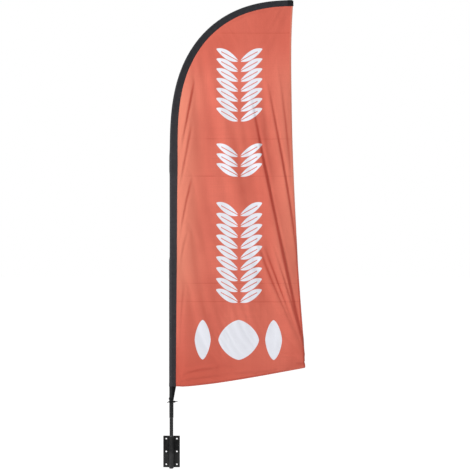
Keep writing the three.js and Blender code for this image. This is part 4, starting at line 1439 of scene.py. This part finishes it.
def motif(tree, flat):
    """Where the ink lies: 1 on leaves and diamonds, 0 elsewhere."""
    mask = 0.0
    for first, pitch, pairs in LEAF_GROUPS:
        leaves = place_group(
            tree, LEAVES, flat, Middle=LEAF_COLUMN, First=first, Pitch=pitch, Pairs=float(pairs),
            Length=LEAF_LENGTH, Half_Width=LEAF_FULLNESS * pitch, Tilt=LEAF_TILT, Vein=VEIN_WIDTH,
        )["Mask"]
        mask = op(tree, "MAXIMUM", leaves, mask)
    for middle, half_width in DIAMONDS:
        diamond = place_group(
            tree, DIAMOND, flat, Middle_X=middle, Middle_Z=DIAMOND_MIDDLE,
            Half_X=half_width, Half_Z=DIAMOND_HALF, Power=DIAMOND_POWER,
        )["Mask"]
        mask = op(tree, "MAXIMUM", diamond, mask)
    return mask


def printed_knit(name, red, white, with_print):
    material, tree, shader = new_finish(
        name, red, 0.82, Sheen_Weight=0.14, Sheen_Roughness=0.5, Specular_IOR_Level=0.22
    )
    flat = coordinates(tree, CUT)
    u, v, _ = split(tree, flat)
    knit = place_group(tree, KNIT, flat, Wales=950.0, Courses=1250.0)
    base = dyed(tree, flat, knit, red)
    crease = packing_creases(tree, flat, v)
    # Painted shade in the creases: each is painted a deeper red along its line, and the bump below gives
    # its relief.
    base = blend_colours(tree, op(tree, "MULTIPLY", crease, 0.8), base, tint(red, 0.80, 0.60, 0.60))
    base = painted_glow_and_shade(tree, base, u, v, red)
    base = inside_folds(tree, base, red)
    if with_print:
        soaked = op(tree, "MULTIPLY", knit["Shade"], 0.5)
        ink = blend_colours(tree, soaked, white, tint(white, 0.9, 0.9, 0.9))
        base = blend_colours(tree, motif(tree, flat), base, ink)
    tree.links.new(base, shader.inputs["Base Color"])
    tree.links.new(ramp(tree, knit["Shade"], 0, 1, 0.74, 0.88), shader.inputs["Roughness"])
    relief = op(tree, "MULTIPLY_ADD", crease, -2.2, knit["Height"])
    tree.links.new(bump(tree, relief, 0.16 * MM), shader.inputs["Normal"])
    return material


KNIT_RED = (0.67, 0.150, 0.100)
PRINT_WHITE = (0.80, 0.815, 0.88)
panel_knit = printed_knit("panel_knit", KNIT_RED, PRINT_WHITE, with_print=True)
# The hem's red is painted darker than the panel's: painted shade along the hem.
hem_knit = printed_knit("hem_knit", tuple(c * 0.86 for c in KNIT_RED), PRINT_WHITE, with_print=False)
panel.data.materials.clear()
panel.data.materials.append(panel_knit)
print(sum(2 * pairs for _, _, pairs in LEAF_GROUPS), "leaves and", len(DIAMONDS), "diamonds")


# %% [markdown]
# ## Hems
# A hem is the cloth's own edge folded over and sewn, so it is three layers thick and stiffer. Its
# red is painted a little darker, as painted shade along the hem. Each is a strip that follows the
# hung cloth, with a round outer fold and a thin inner edge, and it swallows the panel's cut edge.

# %% A strip along an edge of the cloth
def hem_strip(name, edge, inward, finish, thickness=1.5 * MM):
    """edge: flat places along the cut's edge. inward: the way into the cloth at each."""
    steps = np.array([-0.02, 0.06, 0.25, 0.5, 0.75, 0.95, 1.0])
    swell = np.array([0.25, 0.75, 1.0, 0.92, 0.92, 0.85, 0.45])
    sides = []
    for share in steps:
        sides.append(on_cloth(edge + inward * HEM_WIDTH * share))
    rows = []
    for i in range(len(edge)):
        pulled = 1 + 0.12 * math.sin(i * 1.9) + 0.08 * math.sin(i * 0.77)
        front, back = [], []
        for (places, facing), full in zip(sides, swell):
            stand = facing[i] * thickness / 2 * full * pulled
            front.append(places[i] + stand)
            back.append(places[i] - stand)
        rows.append(front + back[::-1])
    return skin(name, rows, finish, closed=True, capped=True)


def inward_way(edge, middle):
    """Square to the edge, towards the middle of the cloth."""
    ahead = np.gradient(edge, axis=0)
    ahead /= np.linalg.norm(ahead, axis=1)[:, None]
    square = np.stack([-ahead[:, 1], ahead[:, 0]], axis=1)
    flip = np.sign((square * (middle - edge)).sum(axis=1))
    return square * flip[:, None]


HEM_STEP = 8 * MM
OUTER_HEM_LENGTH = 2.19
PANEL_MIDDLE = np.array([0.4, 1.4])
outer_line = outer_edge(np.linspace(0.0, 0.999, round(OUTER_HEM_LENGTH / HEM_STEP)))
foot_line = foot_edge(np.linspace(0, 1, round(FOOT_LENGTH / HEM_STEP)))
outer_in = inward_way(outer_line, PANEL_MIDDLE)
foot_in = inward_way(foot_line, PANEL_MIDDLE)
outer_hem = hem_strip("outer_hem", outer_line, outer_in, hem_knit)
foot_hem = hem_strip("foot_hem", foot_line, foot_in, hem_knit, thickness=1.7 * MM)
print("hems", len(outer_hem.data.vertices), len(foot_hem.data.vertices))


# %% [markdown]
# ## Stitches
# Every seam is held by lockstitch: short capsules of thread, each sunk at both ends. They are
# real geometry, made from one small pattern that is stretched along each stitch, and each seam's
# stitches are one object.

# %% Rows of stitches
STITCH = 3.4 * MM
STITCH_PITCH = 4.6 * MM
THREAD = 0.55 * MM


def stitch_row(name, points, normals, finish):
    """points: a dense line on the cloth, with the cloth's way out at each."""
    travelled = np.concatenate([[0], np.cumsum(np.linalg.norm(np.diff(points, axis=0), axis=1))])

    def at(length, values):
        return np.array([np.interp(length, travelled, values[:, k]) for k in range(3)])

    corners, faces = [], []
    for start in np.arange(STITCH_PITCH, travelled[-1] - STITCH_PITCH, STITCH_PITCH):
        ends = [at(start, points), at(start + STITCH, points)]
        out = at(start, normals)
        ahead = ends[1] - ends[0]
        length = np.linalg.norm(ahead)
        ahead /= length
        out = out - ahead * out.dot(ahead)
        out /= np.linalg.norm(out)
        side = np.cross(ahead, out)
        base = len(corners)
        corners.append(ends[0] - out * THREAD * 0.5)
        for share, swell in ((0.18, 0.8), (0.5, 1.0), (0.82, 0.8)):
            middle = ends[0] + ahead * length * share + out * THREAD * (0.55 * swell - 0.4)
            for quarter in range(4):
                angle = math.pi / 4 + quarter * math.pi / 2
                spoke = math.cos(angle) * side + math.sin(angle) * out
                corners.append(middle + THREAD / 2 * swell * spoke)
        corners.append(ends[1] - out * THREAD * 0.5)
        for quarter in range(4):
            after = (quarter + 1) % 4
            faces.append((base, base + 1 + after, base + 1 + quarter))
            faces.append((base + 13, base + 9 + quarter, base + 9 + after))
            for level in (1, 5):
                low_a, low_b = base + level + quarter, base + level + after
                faces.append((low_a, low_b, low_b + 4, low_a + 4))
    return add_mesh(name, corners, faces, finish)


def cloth_stitches(name, edge, inward, offset, stand, finish):
    line, facing = on_cloth(edge + inward * offset)
    return stitch_row(name, line + facing * stand, facing * math.copysign(1, stand), finish)


HEM_STITCH_IN = 7.6 * MM
STITCH_STAND = 0.66 * MM  # from the middle of the cloth out to the thread
stitches = []
for side, stand in (("front", STITCH_STAND), ("back", -STITCH_STAND)):
    for hem, edge, inward in (("outer", outer_line, outer_in), ("foot", foot_line, foot_in)):
        stitch_name = f"{hem}_hem_stitches_{side}"
        stitches.append(cloth_stitches(stitch_name, edge, inward, HEM_STITCH_IN, stand, red_thread))

SEAM_STITCH_IN = 4 * MM
seam_along = np.arange(2 * MM, pocket_foot, 6 * MM)
for side, turn in (("front", -1), ("back", 1)):
    line = beside(seam_along, seam_reach(seam_along) - SEAM_STITCH_IN, turn * 1.28 * MM)
    out = np.tile([0.0, turn, 0.0], (len(line), 1))
    stitches.append(stitch_row(f"seam_stitches_{side}", line, out, black_thread))

for level in (6 * MM, MOUTH_HEM - 3 * MM):
    ring_points = np.array(sleeve_ring(level, extra=SLEEVE_CLOTH + 0.1 * MM))
    ring_points = np.vstack([ring_points, ring_points[:1]])
    middle = beside(level, 0.006)
    out = ring_points - middle
    out[:, 2] = 0
    out /= np.linalg.norm(out, axis=1)[:, None]
    stitches.append(stitch_row(f"mouth_stitches_{round(level / MM)}", ring_points, out, black_thread))

for side, turn in (("front", -1), ("back", 1)):
    line = beside(SLEEVE_LENGTH - 4 * MM, np.linspace(-1.0, 24.0, 12) * MM, turn * 1.75 * MM)
    out = np.tile([0.0, turn, 0.0], (len(line), 1))
    stitches.append(stitch_row(f"end_patch_stitches_{side}", line, out, black_thread))
print(sum(len(s.data.polygons) for s in stitches), "stitch faces")


# %% [markdown]
# ## Weld beads
# The tube is welded to the plate along both sides. A hand-run bead is a row of overlapping
# half-moons, a little wider at its start and with a small crater at its end, so the section's
# radius rises and falls along the run.

# %% Two rippled beads
BEAD_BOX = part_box("weld_bead_right")
RIPPLE = 3.4 * MM
BEAD_OUT = 7.6 * MM  # from under the tube to where the bead's face begins
PLATE_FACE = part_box("wall_plate")[0].y


def weld_bead(name, side):
    low, high = BEAD_BOX[0].z, BEAD_BOX[1].z
    rows = []
    count = round((high - low) / (RIPPLE / 6))
    for i in range(count + 1):
        height = low + (high - low) * i / count
        ripple = abs(math.sin(math.pi * (height - low) / RIPPLE + 0.25 * math.sin(height * 310)))
        swell = 1 + 0.09 * ripple + 0.04 * math.sin(height * 143 + side)
        taper = min(1.0, 0.35 + 9 * min(height - low, high - height) / (high - low) * 4)
        leg = 4.9 * MM * swell * taper
        foot = 3.0 * MM
        row = []
        for angle in np.linspace(0, math.pi / 2, 9):
            bulge = 1 - 0.16 * math.sin(2 * angle)
            out = math.cos(angle) * leg * bulge
            forward = math.sin(angle) * leg * bulge
            row.append((side * (foot + out + BEAD_OUT), PLATE_FACE - 0.05 * MM - forward, height))
        row.append((side * foot, PLATE_FACE - leg * 0.9, height))
        row.append((side * foot, PLATE_FACE - 0.05 * MM, height))
        rows.append(row if side > 0 else row[::-1])
    return skin(name, rows, weld_paint, closed=True, capped=True)


weld_paint = painted_steel(
    "weld_paint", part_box("wall_plate"), PAINT_BLACK, PATCHES_AND_REFLECTION_PAINT, 0.42, 0.5 * MM, 0.1 * MM
)
beads = [weld_bead("welded_bead_right", 1), weld_bead("welded_bead_left", -1)]
print("beads:", ", ".join(bead.name for bead in beads))


# %% [markdown]
# ## The tie below the sleeve
# The sleeve would ride up the pole if nothing held it down. A webbing tail is sewn to the foot
# of its seam, loops the pole, and a cord is wound twice round and knotted under the loop. The
# tail is gathered, so it is drawn as a pleated ribbon that narrows as it reaches the pole.

# %% The gathered tail
STRAP_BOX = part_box("tail_strap")
LOOP_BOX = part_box("strap_loop")
CORD_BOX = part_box("tie_cord")
KNOT_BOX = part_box("tie_knot")
TAIL_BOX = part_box("tie_tail")
POLE_SIDE = BASE_RADIUS + 0.3 * MM


WRAPPED = 0.4  # share of the tail's width that lies on the pole
WRAP_ANGLE = math.radians(62)
TAIL_ACROSS = 20


def pleated_tail():
    rows = []
    low, high = STRAP_BOX[0].z - 1 * MM, STRAP_BOX[1].z + 3 * MM
    for i in range(41):
        up = i / 40
        height = low + (high - low) * up
        width = 1.6 * MM + (REACH_FOOT - POLE_SIDE - 1.2 * MM) * up**1.05
        sway = 1.2 * MM * math.sin(math.pi * up) * math.sin(5 * up)
        front, back = [], []
        for j in range(TAIL_ACROSS + 1):
            across = j / TAIL_ACROSS
            free = max(0.0, (across - WRAPPED) / (1 - WRAPPED))
            angle = WRAP_ANGLE * (1 - min(1.0, across / WRAPPED))
            wave = math.sin(free * math.pi * 3 + 1.5 * up)
            pleat = wave * (1.3 - 0.5 * up) * MM * math.sin(math.pi * free)
            for row, stand in ((front, 1.4 * MM), (back, 0.3 * MM)):
                radius = POLE_SIDE + stand
                x = radius * math.cos(angle) + width * free
                depth = -radius * math.sin(angle) * (1 - free)
                depth += (pleat + sway * free) - (stand - 0.85 * MM) * math.cos(angle)
                row.append((x, AXIS_Y + depth, height))
        rows.append(front + back[::-1])
    return skin("gathered_tail", rows, webbing, closed=True, capped=True)


tail_ribbon = pleated_tail()
print("the tail has", len(tail_ribbon.data.vertices), "points")


# %% The loop of webbing round the pole
def webbing_loop():
    rows = []
    low, high = LOOP_BOX[0].z, LOOP_BOX[1].z
    profile = [
        (0.0, 0.25), (0.02, 0.55), (0.07, 0.78), (0.16, 0.91), (0.3, 0.98),
        (0.5, 1.0),
        (0.7, 0.98), (0.84, 0.91), (0.93, 0.78), (0.98, 0.55), (1.0, 0.25),
    ]
    count = 96
    for i in range(count):
        angle = 2 * math.pi * i / count
        tilt = 0.9 * MM * math.cos(angle - 0.4)
        swell = 1.7 * MM * (1 + 0.16 * math.sin(3 * angle) + 0.1 * math.sin(7 * angle + 1))
        swell += 1.3 * MM * max(0.0, -math.cos(angle)) ** 2
        outer = [(POLE_SIDE + swell * round_off, share) for share, round_off in profile]
        inner = [(POLE_SIDE - 0.1 * MM, share) for share, _ in profile[::-1]]
        row = []
        for radius, share in outer + inner:
            height = low + (high - low) * share + tilt
            row.append((radius * math.cos(angle), AXIS_Y + radius * math.sin(angle), height))
        rows.append(row)
    rows.append(rows[0])
    return skin("webbing_loop", rows, webbing, closed=True)


def weld_points(piece, distance=0.02 * MM):
    joined = piece.modifiers.new("Weld", "WELD")
    joined.merge_threshold = distance
    return apply_modifiers(piece)


loop_ribbon = weld_points(webbing_loop())
print("the loop has", len(loop_ribbon.data.vertices), "points")


# %% Braided cord: two turns, a knot and a loose end
CORD_RADIUS = (CORD_BOX[1].z - CORD_BOX[0].z) / 4
BRAID = 3.2 * MM


def braided(path, radius):
    """A section that swells where strands cross."""
    travelled = np.concatenate([[0], np.cumsum(np.linalg.norm(np.diff(path, axis=0), axis=1))])

    def section(i, angles):
        phase = 2 * np.pi * travelled[i] / BRAID
        strands = np.sin(3 * angles + phase) * np.sin(3 * angles - phase)
        return radius * (0.95 + 0.07 * strands)

    return section


cord_z = (CORD_BOX[0].z + CORD_BOX[1].z) / 2
wound = POLE_SIDE + CORD_RADIUS
turn_angles = np.linspace(0.12, 4 * np.pi - 0.12, 300)
winding = np.stack([
    wound * np.cos(turn_angles),
    AXIS_Y - wound * np.sin(turn_angles),
    cord_z + CORD_RADIUS * 2 * (turn_angles / (4 * np.pi) - 0.5),
], axis=1)
cord_turns = sweep("cord_turns", winding, braided(winding, CORD_RADIUS * 0.97), cord_braid)

KNOT_DRAWN_IN = 3 * MM  # the knot is pulled tight against the turns
knot_middle = np.array([
    (KNOT_BOX[0].x + KNOT_BOX[1].x) / 2 - KNOT_DRAWN_IN,
    AXIS_Y,
    (KNOT_BOX[0].z + KNOT_BOX[1].z) / 2,
])
knot_turn = np.linspace(0, 2 * np.pi, 181)[:-1]
KNOT_RADIUS = 2.1 * MM
KNOT_SIZE = 4.0 * MM
knot_path = np.stack([
    1.15 * np.cos(knot_turn) * (2 + np.cos(3 * knot_turn)) / 3,
    1.0 * np.sin(3 * knot_turn) / 2.4,
    1.15 * np.sin(knot_turn) * (2 + np.cos(3 * knot_turn)) / 3,
], axis=1)
knot_rope = knot_middle + knot_path * KNOT_SIZE
knot = sweep("cord_knot", knot_rope, braided(knot_rope, KNOT_RADIUS * 0.95), cord_braid)


def loose_end(name, path):
    """A length of cord whose last point is melted shut."""
    section = braided(path, CORD_RADIUS * 0.95)

    def sealed(i, angles):
        near_end = len(path) - 1 - i
        swell = 1.12 if near_end < 4 else 1.0
        close = (0.35, 0.85, 1.0)[near_end] if near_end < 3 else 1.0
        return section(i, angles) * swell * close

    return sweep(name, path, sealed, cord_braid)


share = np.linspace(0, 1, 40)
cord_end = loose_end("cord_end", np.stack([
    KNOT_BOX[0].x + 4 * MM + (TAIL_BOX[1].x - KNOT_BOX[0].x - 5 * MM) * share,
    AXIS_Y - 1.5 * MM * np.sin(2.2 * share),
    knot_middle[2] + 3.5 * MM * share**1.6 + 0.8 * MM * np.sin(5 * share),
], axis=1))
LEFT_END = 10 * MM
short_end = loose_end("cord_short_end", np.stack([
    -wound - LEFT_END * share,
    AXIS_Y - 2.5 * MM - 1.5 * MM * np.sin(2.2 * share),
    cord_z - 1.5 * MM - 2.0 * MM * share**1.5,
], axis=1))
print("tie of six pieces")


# %% [markdown]
# ## What each piece stands for
# Every piece rides on the body that carries it on the real flag, and the plain node it stands
# for, where it has one, is hidden. At the end the panel's cut area is worked out from its outline
# with the cut's margins.

# %% Bodies and replaced nodes
def belongs(piece, body, slot, *nodes):
    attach(piece, body)
    if nodes:
        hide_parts(*nodes)


belongs(sleeve, "pole", "black_cloth", "pole_sleeve")
belongs(pocket, "pole", "black_cloth", "tip_pocket")
belongs(panel, "pole", "red_knit", "flag_panel")
belongs(outer_hem, "pole", "red_knit", "trailing_hem")
belongs(foot_hem, "pole", "red_knit", "bottom_hem")
belongs(tail_ribbon, "pole", "black_webbing", "tail_strap")
belongs(loop_ribbon, "pole", "black_webbing", "strap_loop")
belongs(cord_turns, "pole", "black_cord", "tie_cord")
belongs(knot, "pole", "black_cord", "tie_knot")
belongs(cord_end, "pole", "black_cord", "tie_tail")
belongs(short_end, "pole", "black_cord")
belongs(beads[0], "bracket", "painted_steel", "weld_bead_right")
belongs(beads[1], "bracket", "painted_steel", "weld_bead_left")
for row in stitches:
    belongs(row, "pole", "red_knit" if "hem" in row.name else "black_cloth")
print(len(stitches), "rows of stitches ride with the pole")

loop_x, loop_z = outline[:, 0] * CUT_WIDER, outline[:, 1] * CUT_LONGER
cut_area = abs(np.dot(loop_x, np.roll(loop_z, -1)) - np.dot(loop_z, np.roll(loop_x, -1))) / 2
